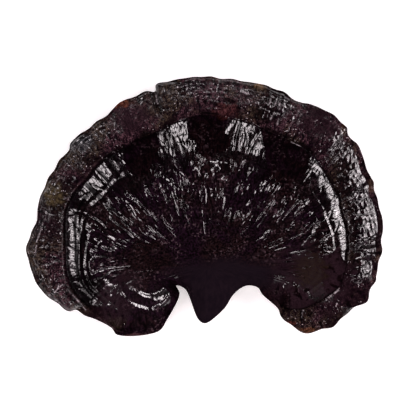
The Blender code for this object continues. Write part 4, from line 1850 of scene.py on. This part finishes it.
@dataclass(frozen=True)
class Softbox:
    """A rectangular lamp that faces the mushroom.

    Attributes:
        name: What the lamp is called.
        azimuth: Degrees from +Y towards +X.
        elevation: Degrees above the floor.
        width: Degrees that it fills sideways, seen from the mushroom.
        height: Degrees that it fills upwards.
        radiance: How bright its face is.
        colour: The light's colour, slightly warm and pink.
    """

    name: str
    azimuth: float
    elevation: float
    width: float
    height: float
    radiance: float
    colour: Colour = (1.0, 0.90, 0.93)

    def build(self, distance: float) -> bpy.types.Object:
        """Makes the lamp.

        Args:
            distance: How far it is from the mushroom, in metres.

        Returns:
            The lamp's object.
        """
        lamp = bpy.data.lights.new(self.name, "AREA")
        lamp.shape = "RECTANGLE"
        lamp.size = 2 * distance * math.tan(math.radians(self.width / 2))
        lamp.size_y = 2 * distance * math.tan(math.radians(self.height / 2))
        lamp.energy = self.radiance * math.pi * lamp.size * lamp.size_y
        lamp.color = self.colour
        shown = bpy.data.objects.new(self.name, lamp)
        side, up = math.radians(self.azimuth), math.radians(self.elevation)
        towards = Vector((math.sin(side) * math.cos(up), math.cos(side) * math.cos(up), math.sin(up)))
        shown.location = towards * distance
        shown.rotation_euler = towards.to_track_quat("Z", "Y").to_euler()
        shown.visible_camera = False
        bpy.context.scene.collection.objects.link(shown)
        return shown


@dataclass
class Studio:
    """The white floor, the soft lights and the camera straight above, in metres.

    Attributes:
        horizon: Strength of the room's light near the horizon.
        zenith: The same overhead.
        sky_fade: Heights on the unit sphere between which one fades into the other.
        floor_glow: Strength of the light that the floor gives off, which keeps it white past the lamps.
        subject_height: Height of the plane that the picture's scale holds for.
        lens: Focal length, in millimetres, for a sensor of that width.
    """

    lamp_distance: float = 1.6
    softboxes: tuple[Softbox, ...] = (
        Softbox("window_far_left", -19, 42, 6.0, 16, 9.5),
        Softbox("window_far_right", 13.6, 42, 7.2, 16, 9.5),
        Softbox("window_top_left", -18, 56, 2.6, 12, 11.5),
        Softbox("window_top_right", 15, 56, 2.8, 12, 11.5),
        Softbox("softbox_far_right", 36, 49, 6, 14, 9.0),
        Softbox("softbox_left", -94, 34, 22, 15, 8.5),
        Softbox("softbox_right", 70, 33, 26, 10, 9.0),
        Softbox("softbox_far_corner", -49, 40, 17, 18, 8.5),
        Softbox("softbox_near", 188, 33, 32, 11, 14.5),
        Softbox("softbox_near_left", -130, 37, 17, 8, 11.5),
        Softbox("softbox_near_right", 138, 34, 26, 10, 12.5),
        Softbox("softbox_right_low", 88, 23, 34, 18, 9.0),
        Softbox("skylight_far", 2, 72, 12, 2.0, 12.0),
    )
    horizon: float = 0.25
    zenith: float = 0.015
    sky_fade: Span = (0.05, 0.55)
    floor_radius: float = 6.0
    floor_shade: float = 0.92
    floor_glow: float = 0.35
    camera_height: float = 0.5135
    subject_height: float = 0.007
    picture_middle: Span = (0.00148, -0.00085)
    lens: float = 100.0
    sensor: float = 36.0

    def build(self) -> None:
        """Makes the floor, the surroundings, the lamps and the camera."""
        self.floor()
        self.surroundings()
        for softbox in self.softboxes:
            softbox.build(self.lamp_distance)
        self.camera()
        settings = bpy.context.scene.view_settings
        settings.view_transform = "Standard"
        settings.look = "None"

    def floor(self) -> None:
        """Makes a round pale floor that reaches far past every view."""
        edge = np.linspace(0, 2 * math.pi, 96, endpoint=False)
        radius = self.floor_radius
        ring = np.stack((radius * np.cos(edge), radius * np.sin(edge), np.zeros_like(edge)), axis=1)
        mesh = bpy.data.meshes.new("floor")
        mesh.from_pydata(ring.tolist(), [], [tuple(range(len(ring)))])
        wiring = Wiring("white_floor")
        shade = self.floor_shade
        inputs = wiring.shader.inputs
        wiring.feed(inputs["Base Color"], (shade, shade, shade, 1.0))
        wiring.feed(inputs["Roughness"], 0.9)
        wiring.feed(inputs["Specular IOR Level"], 0.0)
        wiring.feed(inputs["Emission Color"], (1.0, 1.0, 1.0, 1.0))
        wiring.feed(inputs["Emission Strength"], self.floor_glow)
        mesh.materials.append(wiring.material)
        floor = bpy.data.objects.new("floor", mesh)
        bpy.context.scene.collection.objects.link(floor)

    def surroundings(self) -> None:
        """Makes the room: pale near the horizon and dark overhead, so that level lacquer looks black."""
        world = bpy.data.worlds.new("studio")
        world.use_nodes = True
        tree = world.node_tree
        direction = tree.nodes.new("ShaderNodeTexCoord")
        parts = tree.nodes.new("ShaderNodeSeparateXYZ")
        fade = tree.nodes.new("ShaderNodeMapRange")
        fade.interpolation_type = "SMOOTHSTEP"
        limits = (*self.sky_fade, self.horizon, self.zenith)
        for name, value in zip(("From Min", "From Max", "To Min", "To Max"), limits):
            fade.inputs[name].default_value = value
        tree.links.new(direction.outputs["Generated"], parts.inputs["Vector"])
        tree.links.new(parts.outputs["Z"], fade.inputs["Value"])
        tree.links.new(fade.outputs["Result"], tree.nodes["Background"].inputs["Strength"])
        tree.nodes["Background"].inputs["Color"].default_value = (1.0, 1.0, 1.0, 1.0)
        bpy.context.scene.world = world

    def camera(self) -> None:
        """Makes the camera, which looks straight down with the far margin at the picture's top."""
        data = bpy.data.cameras.new("camera")
        data.lens, data.sensor_width = self.lens, self.sensor
        data.clip_start, data.clip_end = 0.01, 20.0
        camera = bpy.data.objects.new("camera", data)
        camera.location = (*self.picture_middle, self.subject_height + self.camera_height)
        bpy.context.scene.collection.objects.link(camera)
        bpy.context.scene.camera = camera


def main() -> None:
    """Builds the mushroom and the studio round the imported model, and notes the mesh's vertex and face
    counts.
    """
    logging.basicConfig(level=logging.INFO, format="%(message)s")
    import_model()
    mushroom = Mushroom().build()
    finishes = {
        Finish.LACQUER: CrustFinish("black_lacquer", mirror=0.9),
        Finish.RIM: CrustFinish("rim_skin", mirror=0.18, fade=0.9),
        Finish.MATT: CrustFinish("matt_skin", mirror=0.0, fade=0.0),
        Finish.PORES: PoreFinish(),
        Finish.CUT: CutFinish(),
    }
    for slot in Finish:
        mushroom.data.materials.append(finishes[slot].material())
    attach(mushroom, BODY)
    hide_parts(NODE)
    mesh = mushroom.data
    LOG.info("%s: %d vertices, %d faces", mushroom.name, len(mesh.vertices), len(mesh.polygons))
    Studio().build()


if __name__ == "__main__":
    main()
